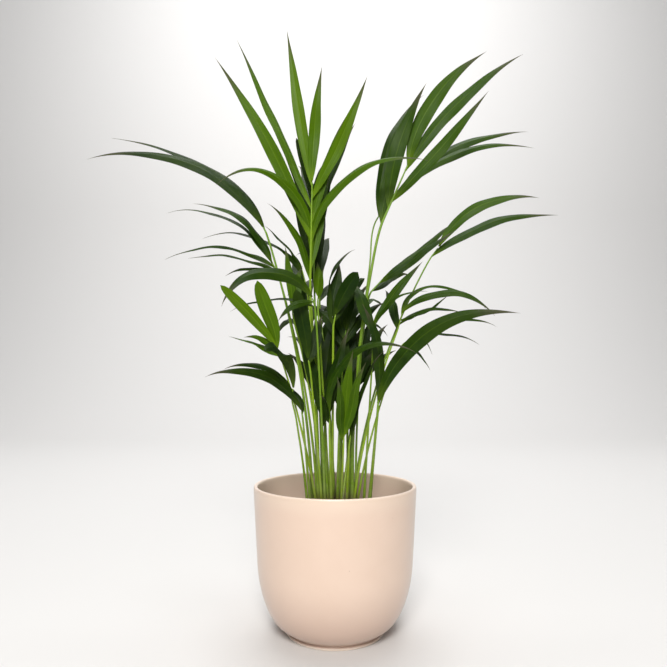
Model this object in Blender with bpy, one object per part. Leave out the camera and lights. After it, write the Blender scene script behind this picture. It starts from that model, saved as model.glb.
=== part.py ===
"""A potted areca palm: a ceramic cover pot, a nursery pot and its root ball, and thirty-five grown fronds.

Metres, +Z up. The origin is the centre of the pot's foot, on the surface that it stands on. The front of
the plant looks along -Y. Each frond is one closed solid: a four-sided stalk and rachis, with leaflets that
grow out of its sides. Leaflets and stalks are moved a little, in a fixed order of tries, until they clear
each other.
"""

import itertools
import math

import bmesh
import bpy
import numpy as np
from mathutils import Vector
from mathutils.bvhtree import BVHTree

# ---------------------------------------------------------------- driving sizes
POT_RIM_DIAMETER = 0.1804
POT_HEIGHT = 0.157
POT_WALL = 0.0047
POT_FLOOR = 0.0125  # from the resting surface to the inside of the floor
POT_WAIST_DIAMETER = 0.1698  # where the straight wall turns into the shoulder
POT_WAIST_HEIGHT = 0.071
POT_FOOT_DIAMETER = 0.107
POT_FOOT_HEIGHT = 0.0028
POT_GROOVE_DEPTH = 0.0026  # the undercut between the foot and the shoulder
POT_SIDES = 56
GROW_POT_SIDES = 40
MERGE = 1e-6  # corners closer than this are one

GROW_POT_RIM_CLEARANCE = 0.007  # from the cover pot's inner wall at its rim
GROW_POT_DRAFT = 0.0235  # how much further out the nursery pot's rim stands than its base
GROW_POT_HEIGHT = 0.104
GROW_POT_WALL = 0.0012
GROW_POT_LIP = 0.0025  # how far the rolled rim stands out of the wall
SOIL_BELOW_GROW_RIM = 0.006
SOIL_CROWN_BELOW_POT_RIM = 0.018

CROWN_HEIGHT = 0.526  # from the pot's rim to the highest leaf tip
CROWN_REACH = 0.278  # from the pot's axis to the leaf tip that spreads furthest sideways
LEAF_THICKNESS = 0.0008
LEAF_WIDTH = 1.0  # a factor on every leaflet's own width
STALK_WIDTH = 1.0  # a factor on every stalk's own width
SHEATH_SHARE = 0.35  # how much the sheath widens a stalk's foot
SHEATH_FADE = 0.03  # the height in which the sheath thins to a third
NECK_TAPER = 0.72  # a stalk's width at its neck, as a share of its width at its foot
RACHIS_TAPER = 0.55  # a rachis's width at its end, as a share of its width at the neck
LEAFLET_SEAT = 0.0042  # the length of rachis that one leaflet grows out of
STALK_RINGS = 8  # from the foot to the first leaflet
LEAFLET_PITCH = 0.0052  # the least distance between two leaflets along a rachis

SEAT_GAP = 0.0003  # between pieces that touch
AIR_GAP = 0.0005  # between neighbouring leaves and stalks
STALK_STEP = 0.003  # how far a crowded stalk's neck moves in each try
BLADE_STEP = 0.007  # how far a crowded leaflet's tip moves in each try
STALK_CLEARANCE = 0.0008  # between a blade's inner margin and its own stalk, past the seat
SOIL_CURVE = 2.5  # how flat the root ball is near its centre

FRONT = Vector((0.0, -1.0, 0.0))
UPWARD = Vector((0.0, -0.25, 1.0)).normalized()

# ---------------------------------------------------------------- the fronds
# Each frond: foot (x, y) on the root ball; neck (x, y, height above the pot's rim), where the leaflets start;
# stalk bow; rachis (length, heading, lean); stalk width in mm; the way its blades face; leaflets.
# Headings are degrees clockwise from straight up as seen from the front, leans are degrees to the front.
# A bow is how far the middle of a curve stands above its chord, as a share of the chord.
# Each leaflet: side (R, L, or E for the one that ends the rachis), place along the rachis from 0 to 1,
# length mm, heading, lean, bow, width mm, turn (degrees that the blade rolls away from facing the front),
# and an outline: "long" tapers to a fine point, "blunt" keeps its width.
FRONDS = {
    "top_fan": ((-0.018, -0.002), (-0.028, -0.012, 0.214), 0.01, (126, 1, 3), 3.4, FRONT, [
        ("E", 1.00, 130, 5, 5, 0.03, 13, 10, "long"),
        ("L", 0.95, 195, -9, 1, -0.01, 13, 10, "long"),
        ("R", 0.84, 150, 25, 7, -0.01, 14, 15, "long"),
        ("L", 0.74, 240, -23, -7, 0.005, 12, 40, "long"),
        ("R", 0.62, 135, 17, -5, 0.03, 12, 10, "long"),
        ("L", 0.46, 230, -28, 6, 0.04, 15, 8, "long"),
        ("R", 0.42, 157, 57, 14, 0.27, 13, 35, "long"),
        ("L", 0.30, 115, -58, 18, 0.44, 11, 30, "long"),
        ("R", 0.20, 130, 11, -6, 0.05, 12, 20, "long"),
        ("L", 0.10, 91, -30, 4, 0.14, 11, 30, "long"),
    ]),
    "top_back": ((-0.0135, 0.0035), (-0.024, 0.022, 0.207), 0.01, (120, -1, -5), 3.0, FRONT, [
        ("E", 1.00, 90, -14, -5, 0.02, 10, 0, "blunt"),
        ("R", 0.85, 140, 22, -8, 0.04, 13, 10, "long"),
        ("L", 0.80, 130, -23, 0, 0.03, 10, 20, "long"),
        ("L", 0.60, 160, -11, -35, 0.12, 14, 20, "long"),
        ("R", 0.50, 165, 11, -15, 0.04, 14, 10, "long"),
        ("L", 0.30, 125, -15, -5, 0.04, 13, 10, "long"),
        ("R", 0.20, 180, 5, -36, 0.12, 14, 20, "long"),
    ]),
    "right_top": ((0.019, -0.002), (0.052, 0.000, 0.291), 0.03, (81, 24, 0), 3.6, FRONT, [
        ("E", 1.00, 160, 35, 4, 0.12, 18, 10, "long"),
        ("R", 0.90, 200, 45, 0, 0.07, 15, 15, "long"),
        ("R", 0.40, 165, 42, 9, -0.01, 14, 10, "long"),
        ("L", 0.30, 150, 17, 6, 0.07, 17, 5, "long"),
        ("L", 0.05, 125, 15, -5, 0.04, 15, 5, "long"),
    ]),
    "right_top_back": ((0.023, 0.003), (0.049, 0.035, 0.308), 0.03, (51, 38, -6), 2.2, FRONT, [
        ("E", 1.00, 171, 66, 3, 0.12, 13, 25, "long"),
        ("R", 0.70, 176, 72, 3, 0.16, 13, 30, "long"),
        ("L", 0.50, 140, 13, -13, 0.08, 14, 20, "long"),
        ("L", 0.15, 200, 20, -19, 0.12, 15, 30, "long"),
    ]),
    "right_reach": ((0.0205, 0.008), (0.109, 0.000, 0.254), 0.05, (18, 36, 0), 2.2, FRONT, [
        ("E", 1.00, 126, 65, 5, 0.17, 13, 20, "long"),
        ("R", 0.20, 155, 72, 0, 0.10, 12, 30, "long"),
    ]),
    "right_inner": ((0.0145, 0.004), (0.040, 0.012, 0.215), 0.02, (24, 42, 0), 2.8, FRONT, [
        ("E", 1.00, 115, 51, -4, -0.02, 12, 40, "long"),
        ("R", 0.70, 105, 56, 12, 0.0, 12, 30, "long"),
        ("L", 0.40, 32, -28, -30, 0.10, 11, 10, "blunt"),
        ("R", 0.20, 85, 62, -45, 0.10, 14, 30, "long"),
    ]),
    "right_broad": ((0.0315, -0.008), (0.042, -0.030, 0.164), 0.0, (14, 0, 0), 2.2, FRONT, [
        ("E", 1.00, 87, 39, 0, 0.02, 12, 15, "long"),
        ("R", 0.60, 72, 58, 25, 0.20, 8, 60, "long"),
        ("L", 0.20, 90, -20, -41, 0.08, 16, 10, "long"),
    ]),
    "right_fan": ((0.0205, -0.0085), (0.070, -0.010, 0.171), 0.03, (21, 16, 0), 2.2, FRONT, [
        ("E", 1.00, 101, 94, 11, 0.25, 11, 25, "long"),
        ("L", 0.80, 103, 85, -11, 0.28, 9, 50, "long"),
        ("R", 0.65, 66, 63, 32, -0.06, 9, 60, "long"),
        ("R", 0.30, 75, 82, 19, 0.17, 8, 45, "long"),
        ("L", 0.25, 75, -10, -45, 0.10, 14, 20, "long"),
    ]),
    "right_low": ((0.0245, -0.0055), (0.072, -0.035, 0.153), 0.03, (15, 54, 0), 2.0, FRONT, [
        ("E", 1.00, 98, 83, -9, 0.16, 8, 45, "long"),
        ("R", 0.75, 74, 96, 12, 0.13, 7, 55, "long"),
        ("R", 0.45, 43, 125, 50, 0.25, 4, 50, "long"),
        ("R", 0.15, 46, 138, 33, 0.12, 5, 50, "long"),
    ]),
    "right_pair": ((0.037, -0.012), (0.045, -0.045, 0.086), 0.0, (8, 2, 0), 3.2, FRONT, [
        ("E", 1.00, 104, -10, 12, 0.14, 14, 10, "long"),
        ("R", 0.60, 166, 57, 3, 0.20, 17, 15, "long"),
    ]),
    "front_arch": ((-0.004, -0.0185), (-0.006, -0.035, 0.064), 0.0, (13, 2, 0), 2.6, FRONT, [
        ("E", 1.00, 117, 54, 20, 0.37, 10, 35, "long"),
        ("L", 0.40, 41, -17, 38, 0.10, 7, 30, "long"),
    ]),
    "front_slim": ((0.0125, -0.0135), (0.015, -0.030, 0.045), 0.0, (11, 9, 0), 2.4, FRONT, [
        ("E", 1.00, 83, 5, -7, 0.02, 8, 30, "long"),
        ("R", 0.40, 103, 20, 8, 0.14, 7, 40, "long"),
    ]),
    "centre_dark": ((-0.003, -0.004), (-0.002, -0.012, 0.176), 0.0, (14, 12, 0), 2.8, FRONT, [
        ("E", 1.00, 53, 29, 20, 0.06, 17, 5, "blunt"),
        ("L", 0.70, 66, 4, -10, 0.04, 17, 5, "long"),
        ("R", 0.50, 83, 33, -35, 0.10, 13, 10, "blunt"),
        ("L", 0.30, 101, 16, -18, 0.24, 11, 50, "long"),
    ]),
    "centre_young": ((-0.006, 0.0015), (-0.020, 0.012, 0.205), 0.0, (8, 0, 0), 2.4, FRONT, [
        ("E", 1.00, 40, -1, 0, 0.02, 11, 0, "long"),
        ("R", 0.50, 38, 13, 19, 0.04, 6, 20, "long"),
    ]),
    "big_arch": ((-0.011, -0.0175), (-0.021, -0.040, 0.191), 0.01, (14, -16, 21), 2.4, FRONT, [
        ("E", 1.00, 99, -100, 24, 0.34, 17, 20, "long"),
        ("L", 0.60, 48, -123, 28, 0.13, 8, 20, "long"),
        ("L", 0.20, 97, -92, -12, 0.12, 9, 60, "long"),
    ]),
    "front_left_fan": ((-0.0205, -0.011), (-0.057, -0.070, 0.144), 0.03, (8, -28, 37), 2.2, FRONT, [
        ("E", 1.00, 82, -42, 18, 0.03, 12, 5, "blunt"),
        ("R", 0.60, 71, -16, 10, 0.0, 16, 0, "blunt"),
        ("L", 0.50, 49, -68, 42, 0.14, 7, 30, "long"),
        ("L", 0.15, 57, -69, 14, 0.05, 9, 70, "long"),
    ]),
    "left_top": ((-0.0245, -0.0045), (-0.078, -0.010, 0.282), 0.034, (8, -30, 0), 2.8, FRONT, [
        ("E", 1.00, 209, -70, 5, 0.18, 13, 25, "long"),
        ("R", 0.40, 219, -58, -5, 0.115, 11, 50, "long"),
    ]),
    "left_sweep": ((-0.0195, 0.0045), (-0.067, 0.012, 0.241), 0.03, (14, -31, 0), 2.6, FRONT, [
        ("E", 1.00, 112, -54, 6, 0.17, 12, 50, "long"),
        ("L", 0.82, 142, -64, -3, 0.19, 11, 62, "long"),
        ("L", 0.50, 127, -87, 5, 0.16, 11, 66, "long"),
        ("L", 0.30, 104, -86, 24, 0.09, 10, 60, "long"),
        ("L", 0.10, 69, -93, 28, 0.17, 11, 50, "long"),
    ]),
    "left_slender": ((-0.0095, 0.0090), (-0.034, 0.035, 0.226), 0.01, (23, -14, 0), 2.2, FRONT, [
        ("E", 1.00, 70, -41, 4, 0.06, 11, 65, "long"),
        ("L", 0.60, 131, -70, 2, 0.20, 11, 65, "long"),
    ]),
    "left_young": ((-0.0155, -0.0075), (-0.047, 0.000, 0.186), 0.03, (9, -7, 0), 2.6, FRONT, [
        ("E", 1.00, 73, -7, 0, 0.03, 11, 5, "long"),
        ("R", 0.50, 59, 10, -10, 0.05, 11, 10, "long"),
    ]),
    "low_left_pair": ((-0.030, -0.013), (-0.045, -0.050, 0.098), 0.03, (11, 11, 27), 2.2, FRONT, [
        ("E", 1.00, 73, -34, 55, 0.28, 14, 10, "blunt"),
        ("L", 0.50, 73, -71, 18, 0.19, 10, 45, "long"),
    ]),
    "low_left_arch": ((-0.0265, -0.0175), (-0.034, -0.045, 0.076), 0.0, (10, -9, 30), 2.4, FRONT, [
        ("E", 1.00, 101, -69, 23, 0.19, 12, 25, "long"),
        ("R", 0.40, 60, -49, -7, 0.12, 9, 30, "long"),
    ]),
    "front_dark_tall": ((-0.0145, -0.0135), (-0.027, -0.035, 0.128), 0.01, (11, -11, 0), 2.4, FRONT, [
        ("E", 1.00, 74, -10, 4, 0.03, 17, 0, "blunt"),
        ("R", 0.50, 59, 15, -20, 0.05, 13, 5, "long"),
    ]),
    "front_dark_short": ((-0.0075, -0.0115), (-0.014, -0.040, 0.063), 0.0, (10, 2, 0), 2.6, FRONT, [
        ("E", 1.00, 87, -14, 7, 0.02, 14, 0, "blunt"),
        ("R", 0.70, 115, 16, -20, 0.05, 16, 5, "long"),
        ("R", 0.30, 74, 18, -12, 0.05, 11, 15, "long"),
    ]),
    "centre_spear": ((0.0025, -0.0105), (0.004, -0.030, 0.055), 0.0, (9, 2, 0), 2.6, FRONT, [
        ("E", 1.00, 65, 7, 0, 0.02, 10, 5, "long"),
    ]),
    "centre_back": ((0.005, 0.005), (0.009, 0.018, 0.146), 0.01, (30, 8, -10), 2.4, FRONT, [
        ("E", 1.00, 68, 10, -10, 0.04, 14, 20, "long"),
        ("R", 0.75, 76, 25, -14, 0.08, 13, 30, "long"),
        ("L", 0.60, 72, -16, -12, 0.06, 16, 5, "long"),
        ("R", 0.40, 78, 44, -22, 0.10, 15, 15, "long"),
        ("L", 0.22, 74, -38, -18, 0.10, 15, 15, "long"),
    ]),
    "back_tall": ((-0.001, 0.013), (-0.018, 0.060, 0.192), 0.03, (121, -3, -24), 3.2, UPWARD, [
        ("E", 1.00, 110, -12, -10, 0.12, 14, 0, "long"),
        ("R", 0.80, 139, 5, -21, 0.12, 14, 0, "long"),
        ("L", 0.60, 128, -19, -39, 0.20, 14, 0, "long"),
        ("R", 0.50, 112, 11, -48, 0.12, 14, 0, "long"),
        ("L", 0.25, 131, -27, -55, 0.25, 14, 0, "long"),
        ("R", 0.20, 110, 50, -60, 0.12, 14, 0, "long"),
    ]),
    "back_left": ((-0.019, 0.020), (-0.035, 0.050, 0.164), 0.03, (56, -12, -45), 2.8, UPWARD, [
        ("E", 1.00, 99, -12, -37, 0.20, 17, 0, "long"),
        ("L", 0.70, 122, -32, -62, 0.25, 17, 0, "long"),
        ("R", 0.60, 124, 4, -58, 0.20, 17, 0, "long"),
        ("L", 0.30, 86, -95, -60, 0.25, 17, 0, "long"),
        ("R", 0.20, 135, 60, -72, 0.25, 17, 0, "long"),
    ]),
    "back_right": ((0.015, 0.022), (0.013, 0.050, 0.158), 0.03, (58, 12, -44), 2.8, UPWARD, [
        ("E", 1.00, 62, 30, -42, 0.20, 17, 0, "long"),
        ("R", 0.70, 96, 62, -51, 0.25, 17, 0, "long"),
        ("L", 0.60, 108, -7, -58, 0.20, 17, 0, "long"),
        ("R", 0.30, 92, 86, -52, 0.22, 17, 0, "long"),
        ("L", 0.20, 135, -60, -72, 0.25, 17, 0, "long"),
    ]),
    "back_low_left": ((-0.008, 0.026), (-0.014, 0.050, 0.109), 0.02, (42, -13, -45), 2.6, UPWARD, [
        ("E", 1.00, 80, -20, -30, 0.10, 16, 0, "long"),
        ("L", 0.60, 92, -45, -42, 0.14, 16, 0, "long"),
        ("R", 0.50, 106, 10, -40, 0.12, 16, 0, "long"),
        ("R", 0.20, 98, 52, -52, 0.18, 16, 0, "long"),
    ]),
    "back_low_right": ((0.006, 0.030), (0.008, 0.050, 0.106), 0.02, (45, 12, -42), 2.6, UPWARD, [
        ("E", 1.00, 82, 16, -32, 0.10, 16, 0, "long"),
        ("R", 0.60, 98, 44, -42, 0.14, 16, 0, "long"),
        ("L", 0.50, 112, -10, -40, 0.12, 16, 0, "long"),
        ("L", 0.20, 88, -48, -52, 0.18, 16, 0, "long"),
    ]),
    "dark_left": ((-0.012, 0.0165), (-0.012, 0.020, 0.080), 0.0, (34, -6, -6), 2.4, FRONT, [
        ("E", 1.00, 84, -6, -6, 0.04, 17, 5, "long"),
        ("R", 0.75, 92, 12, -10, 0.06, 18, 5, "long"),
        ("L", 0.60, 80, -22, -8, 0.06, 16, 10, "long"),
        ("R", 0.35, 88, 24, -14, 0.08, 17, 10, "long"),
        ("L", 0.20, 78, -36, -12, 0.10, 15, 15, "long"),
    ]),
    "dark_mid": ((0.007, 0.014), (0.008, 0.022, 0.072), 0.0, (34, 4, -6), 2.4, FRONT, [
        ("E", 1.00, 80, 2, -6, 0.04, 17, 5, "long"),
        ("R", 0.75, 88, 16, -10, 0.06, 18, 5, "long"),
        ("L", 0.60, 84, -12, -10, 0.06, 17, 5, "long"),
        ("R", 0.35, 84, 32, -14, 0.08, 16, 10, "long"),
        ("L", 0.20, 82, -26, -14, 0.10, 16, 10, "long"),
    ]),
    "dark_right": ((0.0085, -0.002), (0.023, 0.012, 0.098), 0.0, (28, 12, 0), 2.4, FRONT, [
        ("E", 1.00, 70, 14, -2, 0.04, 15, 10, "long"),
        ("R", 0.70, 78, 30, -8, 0.08, 15, 15, "long"),
        ("L", 0.55, 74, -6, -6, 0.06, 16, 5, "long"),
        ("R", 0.30, 70, 48, -14, 0.10, 13, 25, "long"),
        ("L", 0.15, 72, -22, -12, 0.08, 15, 10, "long"),
    ]),
    "low_young": ((0.0065, -0.021), (0.009, -0.038, 0.050), 0.0, (12, 4, 0), 2.2, FRONT, [
        ("E", 1.00, 86, 6, 8, 0.02, 13, 10, "long"),
        ("R", 0.55, 84, 16, 18, 0.05, 12, 20, "long"),
        ("L", 0.10, 70, -6, 12, 0.04, 11, 20, "long"),
    ]),
}
TABLE_CROWN_HEIGHT = 0.526  # the height and reach that the rows above give
TABLE_CROWN_REACH = 0.278

# Where a blade's sections stand along it, and their width there as a share of its full width.
OUTLINES = {
    "long": ((0.10, 0.45), (0.27, 0.85), (0.48, 1.0), (0.70, 0.80), (0.88, 0.42)),
    "blunt": ((0.12, 0.50), (0.30, 0.88), (0.55, 1.0), (0.80, 0.92), (0.94, 0.62)),
}


# ---------------------------------------------------------------- materials and objects
def material(name, colour, roughness, metallic=0.0):
    made = bpy.data.materials.new(name)
    made.use_nodes = True
    shader = made.node_tree.nodes["Principled BSDF"]
    shader.inputs["Base Color"].default_value = (*colour, 1.0)
    shader.inputs["Roughness"].default_value = roughness
    shader.inputs["Metallic"].default_value = metallic
    return made


def solid(name, work, finish):
    """One object from a closed bmesh, with its faces turned outwards."""
    bmesh.ops.recalc_face_normals(work, faces=work.faces)
    if work.calc_volume(signed=True) < 0:
        bmesh.ops.reverse_faces(work, faces=work.faces)
    bmesh.ops.triangulate(work, faces=work.faces)
    mesh = bpy.data.meshes.new(name)
    work.to_mesh(mesh)
    work.free()
    mesh.materials.append(finish)
    bpy.context.scene.collection.objects.link(bpy.data.objects.new(name, mesh))


def turned(name, profile, finish, sides):
    """A solid of revolution about Z, spun from a profile that starts and ends on the axis."""
    work = bmesh.new()
    corners = [work.verts.new((radius, 0.0, z)) for radius, z in profile]
    edges = [work.edges.new(pair) for pair in zip(corners, corners[1:])]
    axis = {"cent": (0, 0, 0), "axis": (0, 0, 1)}
    bmesh.ops.spin(work, geom=corners + edges, angle=math.tau, steps=sides, **axis)
    bmesh.ops.remove_doubles(work, verts=work.verts, dist=MERGE)
    solid(name, work, finish)


# ---------------------------------------------------------------- the pots and the root ball
def shoulder_radius(z):
    """The cover pot's outer radius: a rounded shoulder, then a straight wall that widens upwards."""
    start = 2 * POT_FOOT_HEIGHT + POT_GROOVE_DEPTH / 2
    low = POT_FOOT_DIAMETER / 2 - POT_GROOVE_DEPTH / 2
    waist, rim = POT_WAIST_DIAMETER / 2, POT_RIM_DIAMETER / 2
    if z >= POT_WAIST_HEIGHT:
        return waist + (rim - waist) * (z - POT_WAIST_HEIGHT) / (POT_HEIGHT - POT_WAIST_HEIGHT)
    share = max(0.0, (z - start) / (POT_WAIST_HEIGHT - start))
    return low + (waist - low) * (1 - (1 - share) ** 1.45) ** (1 / 2.1)


def inner_wall():
    """The cover pot's inner wall, from its rim down to its floor: one wall inside the outer surface."""
    lip = POT_WALL * 0.3
    heights = [POT_HEIGHT - lip]
    for share in (1.0, 0.75, 0.50, 0.28, 0.12, 0.03):
        heights.append(POT_FLOOR + (POT_WAIST_HEIGHT - POT_FLOOR) * share)
    wall = [(shoulder_radius(z - POT_WALL * 0.8) - POT_WALL, z) for z in heights]
    return wall + [(wall[-1][0] - lip, POT_FLOOR)]


def clear_radius(z):
    """How far from the axis the cover pot's cavity reaches at a height, between its facets' middles."""
    radii, heights = zip(*reversed(inner_wall()))
    return float(np.interp(z, heights, radii)) * math.cos(math.pi / POT_SIDES)


def cover_pot():
    foot, groove = POT_FOOT_DIAMETER / 2, POT_FOOT_DIAMETER / 2 - POT_GROOVE_DEPTH
    lip = POT_WALL * 0.3
    curve_start = 2 * POT_FOOT_HEIGHT + POT_GROOVE_DEPTH / 2
    profile = [(0.0, 0.0), (foot - lip / 2, 0.0), (foot, lip / 2), (foot, POT_FOOT_HEIGHT)]
    profile.append((groove, POT_FOOT_HEIGHT + POT_GROOVE_DEPTH / 3))
    for share in (0.02, 0.07, 0.15, 0.27, 0.42, 0.60, 0.80, 1.0):
        z = curve_start + (POT_WAIST_HEIGHT - curve_start) * share
        profile.append((shoulder_radius(z), z))
    rim = POT_RIM_DIAMETER / 2
    profile += [(shoulder_radius(POT_HEIGHT - lip), POT_HEIGHT - lip), (rim - lip, POT_HEIGHT)]
    profile += [(rim - POT_WALL + lip, POT_HEIGHT), *inner_wall(), (0.0, POT_FLOOR)]
    glaze = material("blush_glaze", (0.80, 0.66, 0.54), 0.28)
    turned("cover_pot", profile, glaze, POT_SIDES)


def grow_rim_radius():
    """The outer radius of the nursery pot's lip, from the cover pot that it drops into."""
    return POT_RIM_DIAMETER / 2 - POT_WALL - GROW_POT_RIM_CLEARANCE


def grow_base_radius():
    return grow_rim_radius() - GROW_POT_DRAFT


def grow_pot_stand():
    """The height of the nursery pot's base: on the floor, or where the curved wall carries its edge."""
    reach = grow_base_radius() + SEAT_GAP
    low, high = POT_FLOOR, POT_HEIGHT
    if clear_radius(low) >= reach:
        return low + SEAT_GAP
    for _ in range(40):
        middle = (low + high) / 2
        low, high = (low, middle) if clear_radius(middle) >= reach else (middle, high)
    return high + SEAT_GAP


def grow_pot_radius(z):
    """The nursery pot's outer radius at a height, under its lip."""
    base, rim = grow_base_radius(), grow_rim_radius() - GROW_POT_LIP
    return base + (rim - base) * (z - grow_pot_stand()) / GROW_POT_HEIGHT


def grow_pot():
    base, top = grow_pot_stand(), grow_pot_stand() + GROW_POT_HEIGHT
    floor = base + GROW_POT_WALL
    lip_low = top - 2 * GROW_POT_LIP
    profile = [(0.0, base), (grow_base_radius(), base)]
    profile += [(grow_pot_radius(lip_low), lip_low), (grow_rim_radius(), lip_low)]
    profile += [(grow_rim_radius(), top), (grow_pot_radius(top) - GROW_POT_WALL, top)]
    profile += [(grow_pot_radius(floor) - GROW_POT_WALL, floor), (0.0, floor)]
    plastic = material("nursery_plastic", (0.045, 0.04, 0.038), 0.5)
    turned("grow_pot", profile, plastic, GROW_POT_SIDES)


def soil_edge():
    """Height and radius of the root ball's edge, just inside the nursery pot's wall."""
    z = grow_pot_stand() + GROW_POT_HEIGHT - SOIL_BELOW_GROW_RIM
    return z, grow_pot_radius(z) - GROW_POT_WALL - SEAT_GAP


def soil_top(radius):
    """Height of the root ball's domed top: flat near the stems, steeper towards its edge."""
    edge_z, edge_radius = soil_edge()
    crown = POT_HEIGHT - SOIL_CROWN_BELOW_POT_RIM
    return crown - (crown - edge_z) * (radius / edge_radius) ** SOIL_CURVE


def soil():
    edge_z, edge_radius = soil_edge()
    floor = grow_pot_stand() + GROW_POT_WALL + SEAT_GAP
    floor_radius = grow_pot_radius(floor) - GROW_POT_WALL - SEAT_GAP
    profile = [(0.0, floor), (floor_radius, floor), (edge_radius, edge_z)]
    for share in (0.86, 0.70, 0.55, 0.40, 0.22):
        profile.append((edge_radius * share, soil_top(edge_radius * share)))
    profile.append((0.0, soil_top(0.0)))
    mix = material("potting_mix", (0.07, 0.042, 0.026), 0.95)
    turned("soil", profile, mix, GROW_POT_SIDES)


# ---------------------------------------------------------------- curves in the plant
def heading_vector(heading, lean):
    """A direction: degrees clockwise from straight up as seen from the front, and degrees to the front."""
    turn, forward = math.radians(heading), math.radians(lean)
    flat = math.cos(forward)
    return Vector((flat * math.sin(turn), -math.sin(forward), flat * math.cos(turn)))


def stretched(vector):
    """A length drawn in the table, at the crown height and reach asked for."""
    side = CROWN_REACH / TABLE_CROWN_REACH
    return Vector((vector.x * side, vector.y * side, vector.z * CROWN_HEIGHT / TABLE_CROWN_HEIGHT))


def arch(start, end, bow):
    """A function from 0..1 to points: a curve whose middle stands bow times its chord above that chord."""
    chord = end - start
    along = chord.normalized()
    rise = Vector((0, 0, 1)) - along * along.z
    rise = rise.normalized() if rise.length > 1e-6 else -FRONT
    bend = (start + end) / 2 + rise * (2 * bow * chord.length)

    def point(t):
        return start * (1 - t) ** 2 + bend * (2 * t * (1 - t)) + end * t**2

    return point


def frame_at(along, facing):
    """The sideways and the facing direction of a section that runs along a direction."""
    front = facing - along * facing.dot(along)
    if front.length < 0.05:
        front = Vector((0, 0, 1)) - along * along.z
    front.normalize()
    return along.cross(front).normalized(), front


class Stem:
    """A stalk and its rachis: points a millimetre or so apart, read by the distance from the foot."""

    def __init__(self, foot, neck, tip, bow, foot_half, facing):
        stalk, rachis = arch(foot, neck, bow), arch(neck, tip, 0.0)
        points = [stalk(t) for t in np.linspace(0, 1, 60)]
        points += [rachis(t) for t in np.linspace(0, 1, 30)[1:]]
        for _ in range(6):
            points = [points[0]] + [
                (a + b * 2 + c) / 4 for a, b, c in zip(points, points[1:], points[2:])
            ] + [points[-1]]
        self.points = np.array([tuple(p) for p in points])
        steps = np.linalg.norm(np.diff(self.points, axis=0), axis=1)
        self.reach = np.concatenate([[0.0], np.cumsum(steps)])
        self.length = float(self.reach[-1])
        self.neck = self.length - (tip - neck).length
        self.foot_half, self.facing = foot_half, facing

    def at(self, distance):
        return Vector([float(np.interp(distance, self.reach, self.points[:, k])) for k in range(3)])

    def along(self, distance):
        step = 0.004
        above, below = min(distance + step, self.length), max(distance - step, 0.0)
        return (self.at(above) - self.at(below)).normalized()

    def half(self, distance):
        """Half the stalk's width: a sheath at the foot, then slender, then finer along the rachis."""
        sheath = SHEATH_SHARE * self.foot_half * math.exp(-distance / SHEATH_FADE)
        if distance < self.neck:
            taper = 1 - (1 - NECK_TAPER) * distance / self.neck
            return sheath + self.foot_half * taper
        share = (distance - self.neck) / (self.length - self.neck)
        return sheath + self.foot_half * NECK_TAPER * (1 - (1 - RACHIS_TAPER) * share)

    def ring(self, distance, extra=0.0):
        """Four corners: front right, front left, back left, back right."""
        middle = self.at(distance)
        side, front = frame_at(self.along(distance), self.facing)
        half = self.half(distance) + extra
        corners = ((1, 1), (-1, 1), (-1, -1), (1, -1))
        return [middle + side * (half * a) + front * (half * b) for a, b in corners]

    def tube(self, extra):
        """Points and faces of the stem alone, thickened, for testing what it would touch."""
        rings = [self.ring(d, extra) for d in np.linspace(0.0, self.length, 26)]
        return tube_of(rings)


def tube_of(rings):
    points = [p for ring in rings for p in ring]
    faces = []
    for k in range(len(rings) - 1):
        for side in range(4):
            a, b = 4 * k + side, 4 * k + (side + 1) % 4
            faces.append((a, b, b + 4, a + 4))
    return points, faces


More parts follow.
